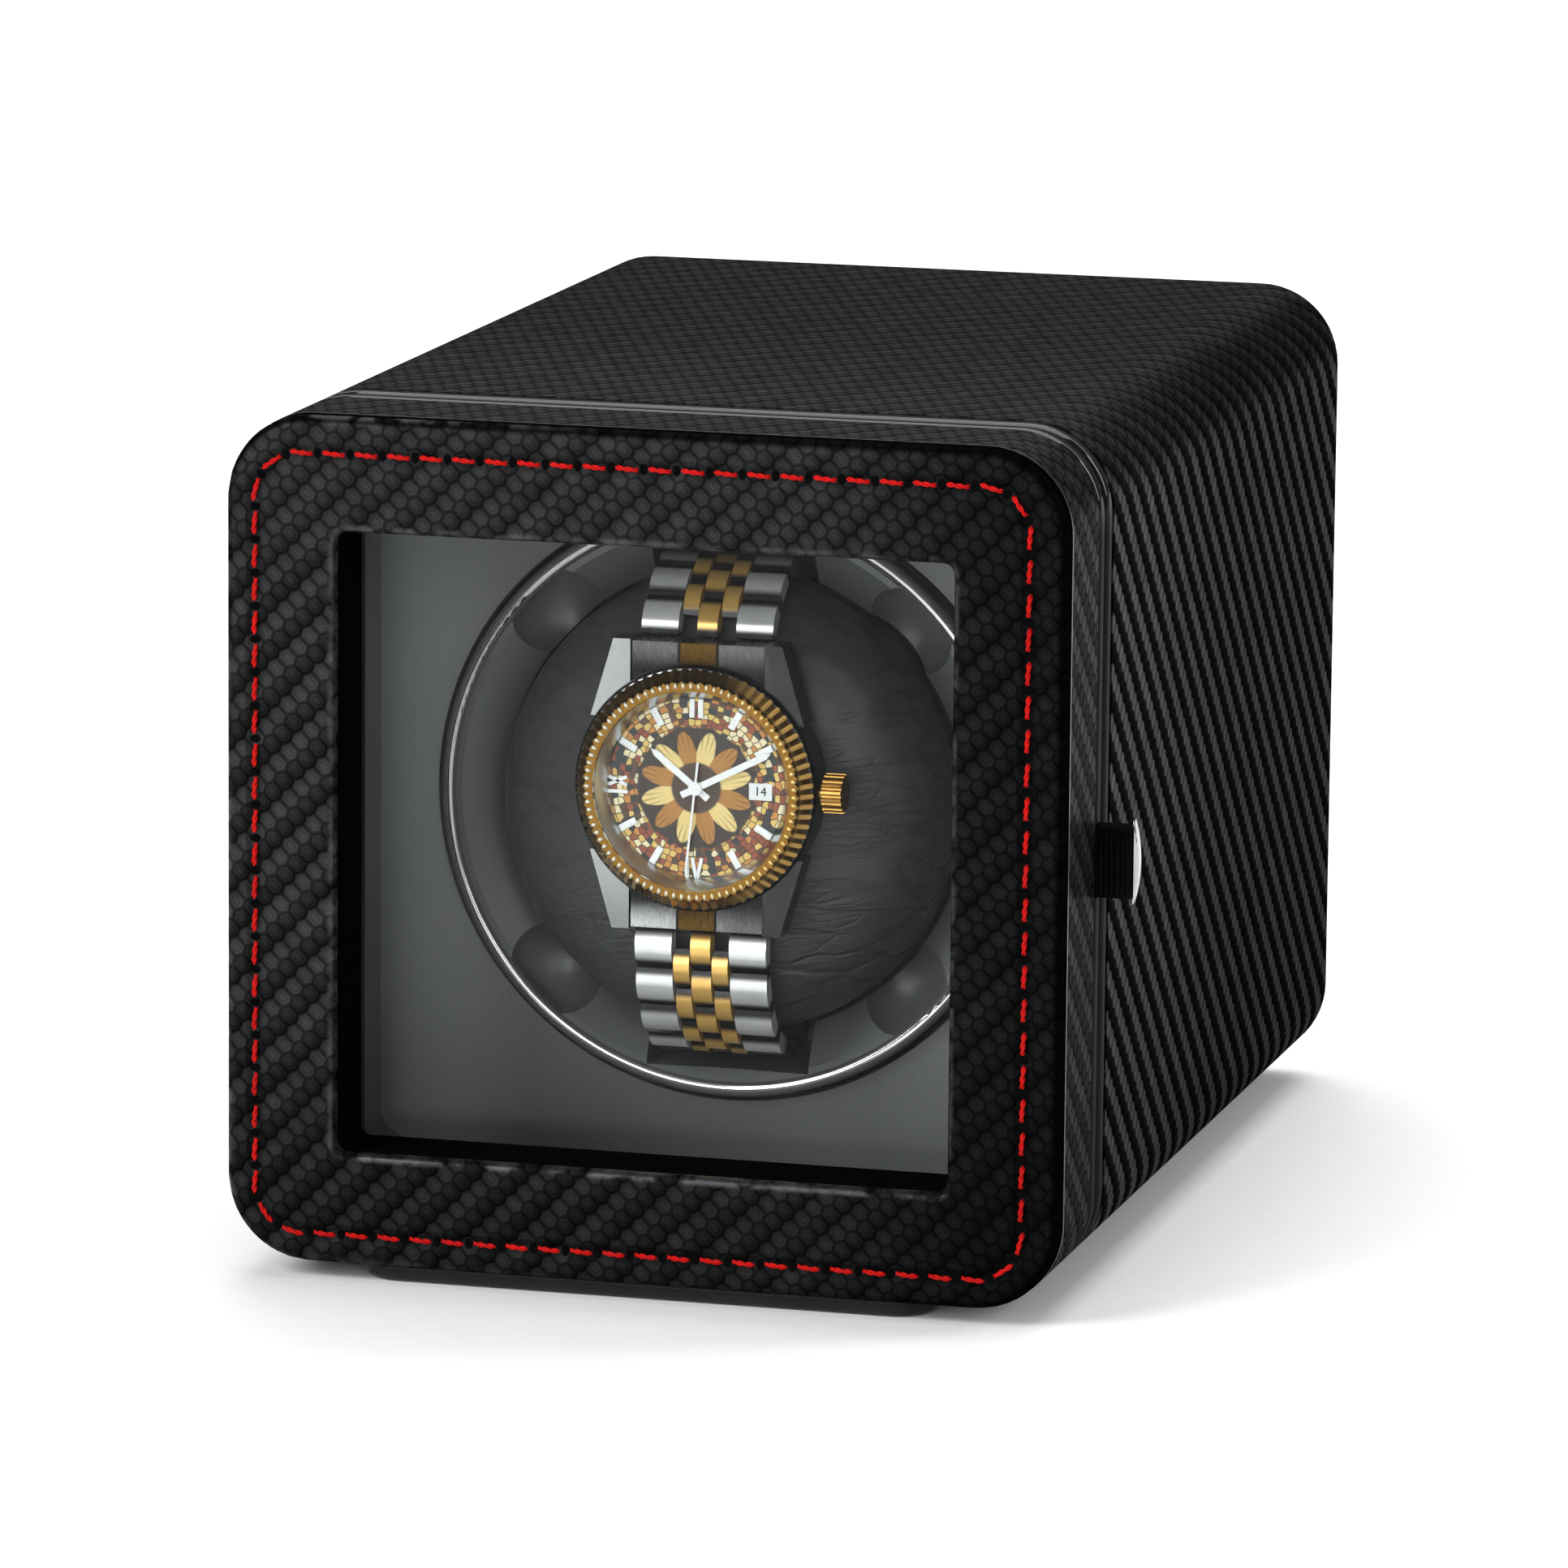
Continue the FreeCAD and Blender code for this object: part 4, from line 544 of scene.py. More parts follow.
def keep(piece, kind, **settings):
    """Adds a modifier to a piece, sets it up and applies it."""
    made = piece.modifiers.new(kind.lower(), kind)
    for name, value in settings.items():
        setattr(made, name, value)
    bpy.context.view_layer.objects.active = piece
    bpy.ops.object.modifier_apply(modifier=made.name)


def open_mesh():
    """Goes into edit mode with the whole mesh selected."""
    bpy.ops.object.mode_set(mode="EDIT")
    bpy.ops.mesh.select_all(action="SELECT")


def close_mesh():
    """Goes back to object mode."""
    bpy.ops.object.mode_set(mode="OBJECT")


def copy_of(packed, name):
    """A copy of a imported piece, with its loose triangles merged, selected and ready to be worked on."""
    bpy.ops.object.select_all(action="DESELECT")
    piece = bpy.data.objects.new(name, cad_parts[packed].data.copy())
    bpy.context.collection.objects.link(piece)
    piece.select_set(True)
    bpy.context.view_layer.objects.active = piece
    piece.data.materials.clear()
    open_mesh()
    bpy.ops.mesh.remove_doubles(threshold=0.01 * millimetre)
    close_mesh()
    return piece


face = copy_of("door_face_leather", "door_face_hide")
keep(face, "REMESH", mode="VOXEL", voxel_size=0.6 * millimetre)
keep(face, "SMOOTH", factor=0.5, iterations=3)
seam_holes = KDTree(stitch_count)
for i in range(stitch_count):
    seam_holes.insert(on_seam((i + 0.5) * seam_step).translation, i)
seam_holes.balance()
line_parts = 8
seam_line = KDTree(line_parts * stitch_count)
for i in range(line_parts * stitch_count):
    seam_line.insert(on_seam(i * seam_step / line_parts).translation, i)
seam_line.balance()
draw_depth = 0.3 * millimetre
line_reach = 1.0 * millimetre
hole_reach = 0.9 * millimetre
outer_skin = 1.2 * millimetre
for point in face.data.vertices:
    if point.co.y < face_front + outer_skin:
        from_line = seam_line.find(point.co)[2] / line_reach
        from_hole = seam_holes.find(point.co)[2] / hole_reach
        point.co.y += draw_depth * math.exp(-from_line ** 2) + draw_depth * math.exp(-from_hole ** 2)
bpy.ops.object.shade_smooth()
face.data.materials.append(face_hide)
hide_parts("door_face_leather")
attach(face, "door")

# Red seam: a twisted two-ply polyester thread, sewn through the hide in short stitches. Each stitch is arched
# and leans a little between its two needle holes.
stitch_length = 3.4 * millimetre
ply_radius = 0.25 * millimetre
ply_offset = 0.17 * millimetre
stitch_rise = 0.34 * millimetre
stitch_sink = 0.12 * millimetre
stitch_sections = 9
stitch_lean = math.radians(5)
stitch_lift = -0.1 * millimetre
ply_turns = 1.25
ply_tip = 0.5


def ply(phase):
    """One ply of a stitch along X: a ring drawn out along a winding, arched line, slimmer at both ends."""
    def spot(share):
        """The place this share of the way along the ply."""
        turn = phase + 2 * math.pi * ply_turns * share
        lift = stitch_rise * math.sin(math.pi * share) - stitch_sink
        along = stitch_length * (share - 0.5)
        return Vector((along, ply_offset * math.cos(turn) - lift, ply_offset * math.sin(turn)))

    bpy.ops.object.select_all(action="DESELECT")
    bpy.ops.mesh.primitive_circle_add(vertices=6, radius=ply_radius * ply_tip, fill_type="NGON",
                                      location=spot(0), rotation=(0, math.pi / 2, 0))
    bpy.ops.object.transform_apply()
    open_mesh()
    for section in range(1, stitch_sections):
        here = spot(section / (stitch_sections - 1))
        step = here - spot((section - 1) / (stitch_sections - 1))
        bpy.ops.mesh.extrude_region_move(TRANSFORM_OT_translate={"value": step})
        if section == 1:
            bpy.ops.transform.resize(value=(1, 1 / ply_tip, 1 / ply_tip), center_override=here)
        if section == stitch_sections - 1:
            bpy.ops.transform.resize(value=(1, ply_tip, ply_tip), center_override=here)
    bpy.ops.mesh.select_all(action="SELECT")
    bpy.ops.mesh.normals_make_consistent(inside=False)
    close_mesh()
    bpy.ops.object.shade_smooth()
    return bpy.context.object


def joined(name, parts):
    """Several objects made into one, at the origin."""
    bpy.ops.object.select_all(action="DESELECT")
    for piece in parts:
        piece.select_set(True)
    bpy.context.view_layer.objects.active = parts[0]
    bpy.ops.object.join()
    bpy.ops.object.transform_apply(location=True, rotation=True, scale=True)
    whole = bpy.context.object
    whole.name = name
    return whole


def copied(pattern, places):
    """A copy of a piece, with its own mesh, at each place. The pattern itself goes."""
    made = []
    for place in places:
        another = pattern.copy()
        another.data = pattern.data.copy()
        another.matrix_world = place
        bpy.context.collection.objects.link(another)
        made.append(another)
    bpy.data.objects.remove(pattern)
    return made


stitch = joined("stitch", [ply(0.0), ply(math.pi)])
stitch_places = [on_seam(i * seam_step, stitch_lean, stitch_lift) for i in range(stitch_count)]
seam = joined("door_stitching", copied(stitch, stitch_places))
dark_red = (0.18, 0.002, 0.002, 1)
bright_red = (0.66, 0.008, 0.006, 1)
thread, thread_shader, thread_place = finish("red_thread", Specular_IOR_Level=0.08)
lint = thread_place.noise(0.00025, 3)
dye = thread_place.noise(0.006, 2)
(0.5 * lint + 0.5 * dye).tint(dark_red, bright_red).into(thread_shader, "Base Color")
(0.5 + 0.25 * lint).into(thread_shader, "Roughness")
lint.bump(0.06 * millimetre, 0.6).into(thread_shader, "Normal")
seam.data.materials.append(thread)
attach(seam, "door")

# Needle holes: the dark holes between the stitches, where the thread goes down into the hide. The needle
# leaves each one a little taller than wide, with a puckered lip. Their near-black colour is painted shade
# for the depth of each hole.
hole_radius = 0.72 * millimetre
hole_stretch = (0.8, 1, 1.15)
hole_lift = -0.3 * millimetre
lip_width = 0.16 * millimetre
lip_rise = 0.05 * millimetre
throat_width = 0.12 * millimetre
throat_fall = 0.04 * millimetre
bpy.ops.object.select_all(action="DESELECT")
bpy.ops.mesh.primitive_circle_add(vertices=12, radius=hole_radius, fill_type="NGON",
                                  rotation=(math.pi / 2, 0, 0))
bpy.ops.object.transform_apply()
open_mesh()
bpy.ops.transform.resize(value=hole_stretch, center_override=(0, 0, 0))
bpy.ops.mesh.inset(thickness=lip_width)
bpy.ops.transform.translate(value=(0, -lip_rise, 0))
bpy.ops.mesh.inset(thickness=throat_width)
bpy.ops.transform.translate(value=(0, throat_fall, 0))
close_mesh()
bpy.ops.object.shade_smooth()
hole = bpy.context.object
hole_places = [on_seam((i + 0.5) * seam_step, 0.0, hole_lift) for i in range(stitch_count)]
holes = joined("door_needle_holes", copied(hole, hole_places))
shade, shade_shader, shade_place = finish("needle_hole", Specular_IOR_Level=0.0, Roughness=0.9)
shade_place.noise(0.0004, 2).tint(grey(0.001), grey(0.004)).into(shade_shader, "Base Color")
holes.data.materials.append(shade)
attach(holes, "door")


# Screw recesses: the steel screws of the back panel and of the pane's frame have cross recesses, pressed in
# their heads. Each recess is a thin flat cross in painted shade, standing for its depth. No two of the
# crosses stand the same way after driving.
def heads(name):
    """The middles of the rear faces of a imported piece's separate solids."""
    rear_skin = 0.02 * millimetre
    head_reach = 8 * millimetre
    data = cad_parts[name].data
    rear = max(vertex.co.y for vertex in data.vertices)
    groups = []
    for vertex in data.vertices:
        if vertex.co.y < rear - rear_skin:
            continue
        near = [group for group in groups if (group[0] - vertex.co).length < head_reach]
        if near:
            near[0].append(vertex.co)
        else:
            groups.append([vertex.co])
    spots = []
    for group in groups:
        low = Vector([min(spot[axis] for spot in group) for axis in range(3)])
        high = Vector([max(spot[axis] for spot in group) for axis in range(3)])
        spots.append((low + high) / 2)
    return spots


def bar(wide, deep, tall, bevel, segments):
    """A block round the origin with its edges bevelled, left in edit mode and selected all over."""
    bpy.ops.object.select_all(action="DESELECT")
    bpy.ops.mesh.primitive_cube_add(size=1)
    open_mesh()
    bpy.ops.transform.resize(value=(wide, deep, tall), center_override=(0, 0, 0))
    bpy.ops.mesh.bevel(offset=bevel, segments=segments, affect="EDGES")
    bpy.ops.mesh.select_all(action="SELECT")
    return bpy.context.object


fill_depth = 0.1 * millimetre
fill_bevel = 0.03 * millimetre
cross_share = 0.4
screw_turn = 0.9


def crosses(name, screws, reach, body):
    """A dark cross of painted shade on each head of a packed set of screws."""
    cross = bar(2 * reach, fill_depth, cross_share * reach, fill_bevel, segments=1)
    bpy.ops.mesh.duplicate()
    bpy.ops.transform.rotate(value=math.pi / 2, orient_axis="Y", center_override=(0, 0, 0))
    close_mesh()
    turns = [Matrix.Rotation(screw_turn * i, 4, "Y") for i in range(len(screws))]
    places = [Matrix.Translation(spot) @ turn for spot, turn in zip(screws, turns)]
    recesses = joined(name, copied(cross, places))
    recesses.data.materials.append(shade)
    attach(recesses, body)


crosses("back_screw_recesses", heads("back_screws"), reach=1.5 * millimetre, body="case")
crosses("retainer_screw_recesses", heads("retainer_screws"), reach=1.1 * millimetre, body="door")

# Knob pointer: a groove cut in the knob's end and filled with white paint, so that its setting can be read.
# It runs from near the middle out to the rim.
knob_low, knob_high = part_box("mode_knob")
knob_end = Vector(((knob_low.x + knob_high.x) / 2, knob_high.y, (knob_low.z + knob_high.z) / 2))
pointer_width = 1.0 * millimetre
pointer_length = 4.6 * millimetre
pointer_out = 4.4 * millimetre
pointer = bar(pointer_width, fill_depth, pointer_length, fill_bevel, segments=1)
pointer.name = "knob_pointer"
bpy.ops.transform.translate(value=knob_end + Vector((0, 0, pointer_out)))
close_mesh()
fill, fill_shader, fill_place = finish("white_fill", Specular_IOR_Level=0.3, Roughness=0.5)
fill_place.noise(0.0006, 2).tint(grey(0.6), grey(0.75)).into(fill_shader, "Base Color")
pointer.data.materials.append(fill)
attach(pointer, "knob")


# Window pane and watch crystal: float glass held in the door by its frame, and polished sapphire pressed into
# the bezel. Both let light straight through, and mirror more at a glance.
def clear_glass(name, index, smear_size):
    """Clear glass: it lets light straight through and mirrors the room by its index, with faint smears."""
    material, shader, place = finish(name)
    tree = material.node_tree
    smear = place.noise(smear_size, 3)
    through = place.node("BsdfTransparent", {"Color": (0.97, 0.98, 0.98, 1)})
    mirror = place.node("BsdfGlossy", {"Color": (1, 1, 1, 1), "Roughness": 0.02 + 0.03 * smear})
    rim = place.node("Fresnel", {"IOR": index})
    whole = place.node("MixShader", {0: rim, 1: through, 2: mirror})
    tree.links.new(whole.socket, tree.nodes["Material Output"].inputs["Surface"])
    tree.nodes.remove(shader)
    return material


dress(clear_glass("window_glass", index=1.14, smear_size=0.03), "window_pane")
dress(clear_glass("crystal_glass", index=1.12, smear_size=0.01), "watch_crystal")

# Pull tab: a moulded black block fixed to the door's right edge, with fine upright ribs for the finger. A
# lens-shaped chromed cap is pressed on its end.
ribbed, ribbed_shader, ribbed_place = finish("ribbed_black", Specular_IOR_Level=0.04)
tab_grain = ribbed_place.noise(0.0004, 2)
tab_grain.tint(grey(0.0005), grey(0.002)).into(ribbed_shader, "Base Color")
(0.3 + 0.15 * tab_grain).into(ribbed_shader, "Roughness")
tab_grain.bump(0.04 * millimetre, 0.5).into(ribbed_shader, "Normal")
dress(ribbed, "pull_tab")
tab_low, tab_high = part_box("pull_tab")
rib_radius = 0.28 * millimetre
rib_pitch = 0.8 * millimetre
rib_count = 6
rib_first = 0.75
rib_tip = 0.4
rib_short = 0.6 * millimetre
rib_half = (tab_high.z - tab_low.z) / 2 - rib_short
rib_end = 0.6 * rib_radius
bpy.ops.object.select_all(action="DESELECT")
bpy.ops.mesh.primitive_circle_add(vertices=10, radius=rib_tip * rib_radius, fill_type="NGON",
                                  location=(0, 0, -rib_half))
bpy.ops.object.transform_apply()
open_mesh()
for rise, spread in ((rib_end, 1 / rib_tip), (2 * (rib_half - rib_end), 1.0), (rib_end, rib_tip)):
    bpy.ops.mesh.extrude_region_move(TRANSFORM_OT_translate={"value": (0, 0, rise)})
    bpy.ops.transform.resize(value=(spread, spread, 1), center_override=(0, 0, 0))
bpy.ops.mesh.select_all(action="SELECT")
bpy.ops.mesh.normals_make_consistent(inside=False)
close_mesh()
bpy.ops.object.shade_smooth()
rib_places = []
for i in range(rib_count):
    rib_places.append(Matrix.Translation((tab_high.x - (i + rib_first) * rib_pitch, tab_low.y, middle)))
tab_ribs = joined("pull_tab_ribs", copied(bpy.context.object, rib_places))
tab_ribs.data.materials.append(ribbed)
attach(tab_ribs, "door")


def polished_metal(name, dark, light, rough):
    """Polished plated metal with faint wiping marks."""
    material, shader, place = finish(name, Metallic=1.0)
    wipe = place.noise(0.004, 4)
    wipe.tint(dark, light).into(shader, "Base Color")
    (rough + 0.08 * wipe).into(shader, "Roughness")
    return material


cap_low, cap_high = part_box("pull_tab_cap")
cap_middle = (cap_low + cap_high) / 2
cap_root = (cap_low.x, cap_middle.y, cap_middle.z)
cap_share = (0.52, 0.6, 0.95)
cap_bevel = 0.2 * millimetre
cap = copy_of("pull_tab_cap", "pull_tab_lens")
open_mesh()
bpy.ops.transform.resize(value=cap_share, center_override=cap_root)
bpy.ops.mesh.dissolve_limited(angle_limit=math.radians(2))
bpy.ops.mesh.bevel(offset=cap_bevel, segments=3, affect="EDGES")
close_mesh()
bpy.ops.object.shade_smooth_by_angle(angle=math.radians(35))
cap_chrome = polished_metal("cap_chrome", grey(0.3, 0.02), grey(0.5, 0.03), rough=0.12)
cap.data.materials.append(cap_chrome)
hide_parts("pull_tab_cap")
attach(cap, "door")


# Rotor ring: a moulded ring round the cup's mouth in satin grey, clipped on, with one chromed line let in it.
# The line has a painted highlight that makes it brighter at the right.
def off_axis(place, height):
    """How far a point lies from the axis that runs from front to back at this height."""
    x = place.part("X")
    z = place.part("Z") - height
    return (x * x + z * z).maths("SQRT")


ring_low, ring_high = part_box("rotor_ring")
ring_middle = (ring_low.z + ring_high.z) / 2
line_radius = 43.2 * millimetre
ring_finish, ring_shader, ring_place = finish("lined_ring", Specular_IOR_Level=0.3)
from_chrome = (off_axis(ring_place, ring_middle) - line_radius).maths("ABSOLUTE")
ring_line = 1 - from_chrome.between(0.28 * millimetre, 0.42 * millimetre)
ring_wipe = ring_place.noise(0.004, 3)
# Painted highlight on the chromed line, brighter towards the right.
ring_slant = ring_place.part("X") - 0.6 * (ring_place.part("Z") - ring_middle)
ring_painted_highlight = ring_slant.between(-20 * millimetre, 40 * millimetre)
ring_metal = ring_painted_highlight.tint(grey(0.3, 0.02), grey(0.8, 0.03))
ring_line.tint(ring_wipe.tint(grey(0.07), grey(0.1)), ring_metal).into(ring_shader, "Base Color")
ring_line.into(ring_shader, "Metallic")
(0.4 - 0.28 * ring_line + 0.08 * ring_wipe).into(ring_shader, "Roughness")
dress(ring_finish, "rotor_ring")

# Rotor cup: a dark satin moulding that turns on the shaft, with a dished rim and four finger notches to lift
# the cushion out by. It has painted shade at the left and down inside, and is lighter towards its rim.
cup, cup_shader, cup_place = finish("satin_cup", Specular_IOR_Level=0.4)
cup_grain = cup_place.noise(0.0004, 2)
cup_cloud = cup_place.noise(0.02, 2)
cup_painted_shade_left = 1 - cup_place.part("X").between(-40 * millimetre, 20 * millimetre)
cup_painted_light_rim = off_axis(cup_place, middle).between(34 * millimetre, 42 * millimetre)
cup_tone = (0.4 + 0.1 * cup_grain + 0.1 * cup_cloud - 0.12 * cup_painted_shade_left) * (0.45 + 0.55 * cup_painted_light_rim)
cup_tone.tint(grey(0.02, -0.03), grey(0.18, -0.03)).into(cup_shader, "Base Color")
(0.3 + 0.14 * cup_grain).into(cup_shader, "Roughness")
cup_grain.bump(0.03 * millimetre, 0.4).into(cup_shader, "Normal")
dress(cup, "rotor_cup")

# Cushion: a stuffed round pillow of soft black leather, sprung into the cup. Its hide is creased at the lower
# right and crackled round the watch, and the bracelet presses a shallow track in it. Its left half has
# painted light, and it is darker along its fold lines.
cushion_low, cushion_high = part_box("pillow_cushion")
cushion_middle = (cushion_low + cushion_high) / 2
cushion_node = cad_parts["pillow_cushion"]
cushion_shell = BVHTree.FromPolygons([corner.co for corner in cushion_node.data.vertices],
                                     [side.vertices for side in cushion_node.data.polygons])
copy_of("pillow_cushion", "pillow_leather")
open_mesh()
bpy.ops.mesh.separate(type="LOOSE")
close_mesh()
shells = sorted(bpy.context.selected_objects, key=lambda shell: -shell.dimensions.length)
for inner in shells[1:]:
    bpy.data.objects.remove(inner)
cushion = shells[0]
cushion.name = "pillow_leather"
bpy.ops.object.select_all(action="DESELECT")
cushion.select_set(True)
bpy.context.view_layer.objects.active = cushion
empty_share = (0.97, 0.95, 0.97)
open_mesh()
bpy.ops.transform.resize(value=empty_share, center_override=cushion_middle)
close_mesh()
keep(cushion, "REMESH", mode="VOXEL", voxel_size=1.7 * millimetre)
# The stuffing blows the empty hide up from inside.
stuffing_steps = 20
stuffing = cushion.modifiers.new("stuffing", "CLOTH")
stuffing.settings.quality = 5
stuffing.settings.mass = 0.2
stuffing.settings.tension_stiffness = 12
stuffing.settings.compression_stiffness = 12
stuffing.settings.bending_stiffness = 0.4
stuffing.settings.use_pressure = True
stuffing.settings.uniform_pressure_force = 4
stuffing.settings.effector_weights.gravity = 0
stuffing.settings.shrink_min = -0.02
stuffing.point_cache.frame_end = stuffing_steps
for step in range(1, stuffing_steps + 1):
    bpy.context.scene.frame_set(step)
bpy.ops.object.modifier_apply(modifier="stuffing")
bpy.context.scene.frame_set(1)
keep(cushion, "SUBSURF", levels=1, render_levels=1)
track_half = 10.2 * millimetre
track_fade = 9 * millimetre
track_sink = 0.35 * millimetre
loop_half = 19.5 * millimetre
track_radius = 15.95 * millimetre
proud = 0.15 * millimetre
for point in cushion.data.vertices:
    spot, normal = cushion_shell.find_nearest(point.co)[:2]
    if (point.co - spot).dot(normal) > proud:
        point.co = spot + normal * proud
    up = abs(point.co.z - cushion_middle.z)
    allowed = track_radius
    if up > loop_half:
        allowed = math.sqrt(max(track_radius ** 2 - (up - loop_half) ** 2, 0))
    aside = min(max((abs(point.co.x) - track_half) / track_fade, 0), 1)
    press = 0.5 + 0.5 * math.cos(math.pi * aside)
    depth = point.co.y - cushion_middle.y
    if press and abs(depth) > allowed - track_sink:
        pressed = math.copysign(allowed - track_sink, depth)
        point.co.y = cushion_middle.y + depth + (pressed - depth) * press
bpy.ops.object.shade_smooth()
hide, hide_shader, hide_place = finish("soft_leather", Specular_IOR_Level=0.4)
slanted = hide_place.node(
    "Mapping", {"Vector": hide_place, "Rotation": (0, math.radians(-38), 0), "Scale": (0.35, 1.0, 1.6)})
folds = (slanted.noise(0.009, 2) - 0.5).maths("ABSOLUTE").between(0.0, 0.05)
hide_slant = hide_place.part("X") - hide_place.part("Z") + middle
right_below = hide_slant.between(12 * millimetre, 36 * millimetre)
crease_zone = right_below * hide_place.noise(0.02, 2).between(0.35, 0.6)
pore = hide_place.noise(0.0012, 2)
crackle_place = slanted.node("Mapping", {"Vector": slanted, "Scale": (1.6, 1.0, 0.7)})
crackle = crackle_place.node(
    "TexVoronoi", {"Vector": crackle_place, "Scale": 480.0}, feature="DISTANCE_TO_EDGE").between(0.0, 0.14)
hide_reach = off_axis(hide_place, middle)
beside_watch = hide_reach.between(15 * millimetre, 19 * millimetre)
near_watch = beside_watch * (1 - hide_reach.between(25 * millimetre, 32 * millimetre))
crackle_zone = near_watch * hide_place.noise(0.012, 2).between(0.4, 0.56)
hide_height = 1 - crease_zone * (1 - folds) - 0.4 * crackle_zone * (1 - crackle) + 0.06 * pore
# Painted light: the left half of the hide is lighter.
cushion_painted_light_left = 1 - hide_place.part("X").between(-20 * millimetre, 20 * millimetre)
hide_tone = 0.25 * folds + 0.2 * pore + 0.55 * cushion_painted_light_left
hide_tone.tint(grey(0.018, -0.04), grey(0.06, -0.04)).into(hide_shader, "Base Color")
(0.36 + 0.2 * hide_place.noise(0.004, 3)).into(hide_shader, "Roughness")
hide_height.bump(0.4 * millimetre, 0.6).into(hide_shader, "Normal")
cushion.data.materials.append(hide)
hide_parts("pillow_cushion")
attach(cushion, "pillow")

# Pillow core: a firm block of moulded grey foam with open cells, inside the cushion. It keeps the cushion
# round and carries the bracelet's pull.
foam, foam_shader, foam_place = finish("moulded_foam", Specular_IOR_Level=0.1)
cells = foam_place.node("TexVoronoi", {"Vector": foam_place, "Scale": 900.0}).between(0.0, 0.6)
cells.tint(grey(0.09), grey(0.2)).into(foam_shader, "Base Color")
(0.75 + 0.2 * cells).into(foam_shader, "Roughness")
cells.bump(0.3 * millimetre, 0.8).into(foam_shader, "Normal")
dress(foam, "pillow_core")

# Watch case: stamped from steel with its four lugs, and polished. It has a painted highlight at the left, and
# painted shade to the right and below.
lug_steel, lug_shader, lug_place = finish("lug_steel", Metallic=1.0)
lug_painted_shade_right = lug_place.part("X").between(-16 * millimetre, 14 * millimetre)
lug_grain = lug_place.noise(0.0008, 3)
lug_painted_shade_below = 1 - (lug_place.part("Z") - middle).between(-17 * millimetre, -5 * millimetre)
lug_painted_shade = lug_painted_shade_right.maths("MAXIMUM", 0.4 * lug_painted_shade_below)
(lug_painted_shade * (0.8 + 0.4 * lug_grain)).tint(grey(0.32), grey(0.03)).into(lug_shader, "Base Color")
(0.18 + 0.12 * lug_grain).into(lug_shader, "Roughness")
dress(lug_steel, "watch_case")


# Bracelet: domed links stamped from steel, with gold-plated ones in the middle rows, pinned to each other and
# closed by a clasp behind the cushion. Each link has painted shade towards its ends, and the links behind the
# cushion are painted dark.
def marked_links(name, material):
    """A copy of a row of links whose corners know how far along their link they lie, from -1 to 1."""
    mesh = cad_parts[name].data.copy()
    mesh.materials.clear()
    mesh.materials.append(material)
    grid = bmesh.new()
    grid.from_mesh(mesh)
    bmesh.ops.remove_doubles(grid, verts=grid.verts, dist=0.001 * millimetre)
    along = grid.verts.layers.float.new("along_link")
    waiting = set(grid.verts)
    for start in grid.verts:
        if start not in waiting:
            continue
        waiting.remove(start)
        link = [start]
        for corner in link:
            for edge in corner.link_edges:
                other = edge.other_vert(corner)
                if other in waiting:
                    waiting.remove(other)
                    link.append(other)
        centre = sum((corner.co for corner in link), Vector()) / len(link)
        spread = [corner.co - centre for corner in link]
        mixed = sum(arm.y * arm.z for arm in spread)
        longer = sum(arm.y ** 2 - arm.z ** 2 for arm in spread)
        tilt = math.atan2(2 * mixed, longer) / 2
        lengthwise = Vector((0, math.cos(tilt), math.sin(tilt)))
        reach = max(abs(arm.dot(lengthwise)) for arm in spread)
        for corner, arm in zip(link, spread):
            corner[along] = arm.dot(lengthwise) / reach
    grid.to_mesh(mesh)
    grid.free()
    links = bpy.data.objects.new(name + "_with_painted_shade", mesh)
    bpy.context.collection.objects.link(links)
    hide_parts(name)
    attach(links, "pillow")


def link_metal(name, dark, light, rough):
    """Polished links with painted shade, dark towards the ends of each link and behind the cushion."""
    material, shader, place = finish(name, Metallic=0.5)
    wipe = place.noise(0.003, 4)
    marked = place.node("Attribute", {}, output=2, attribute_name="along_link")
    joint = marked.maths("ABSOLUTE").between(0.48, 0.84)
    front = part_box("bracelet_outer_links")[0].y
    behind = place.part("Y").between(front + 9 * millimetre, front + 15 * millimetre)
    joint.maths("MAXIMUM", behind).tint(wipe.tint(dark, light), grey(0.012)).into(shader, "Base Color")
    (rough + 0.1 * wipe).into(shader, "Roughness")
    return material


link_steel = link_metal("link_steel", grey(0.72), grey(0.92), rough=0.18)
deep_gold = (0.78, 0.44, 0.10, 1)
pale_gold = (0.98, 0.64, 0.21, 1)
link_gold = link_metal("link_gold", deep_gold, pale_gold, rough=0.18)
marked_links("bracelet_outer_links", link_steel)
marked_links("bracelet_clasp", link_steel)
marked_links("bracelet_centre_links", link_gold)

# End links: brushed steel blocks between the lugs and the bracelet, with a gilt strip down the middle and a
# fine joint at each side of it. They are sprung on bars between the lugs.
gilt_half = 2.9 * millimetre
dark_gilt = (0.02, 0.01, 0.002, 1)
pale_gilt = (0.1, 0.055, 0.013, 1)
end_low, end_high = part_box("bracelet_end_links")
end_middle = (end_low.z + end_high.z) / 2
end_steel, end_shader, end_place = finish("brushed_steel", Metallic=1.0)
end_brushed = end_place.node("Mapping", {"Vector": end_place, "Scale": (8.0, 1.0, 1.0)})
end_lines = end_brushed.noise(0.0012, 3)
end_side = end_place.part("X").maths("ABSOLUTE")
end_up = end_place.part("Z") - end_middle
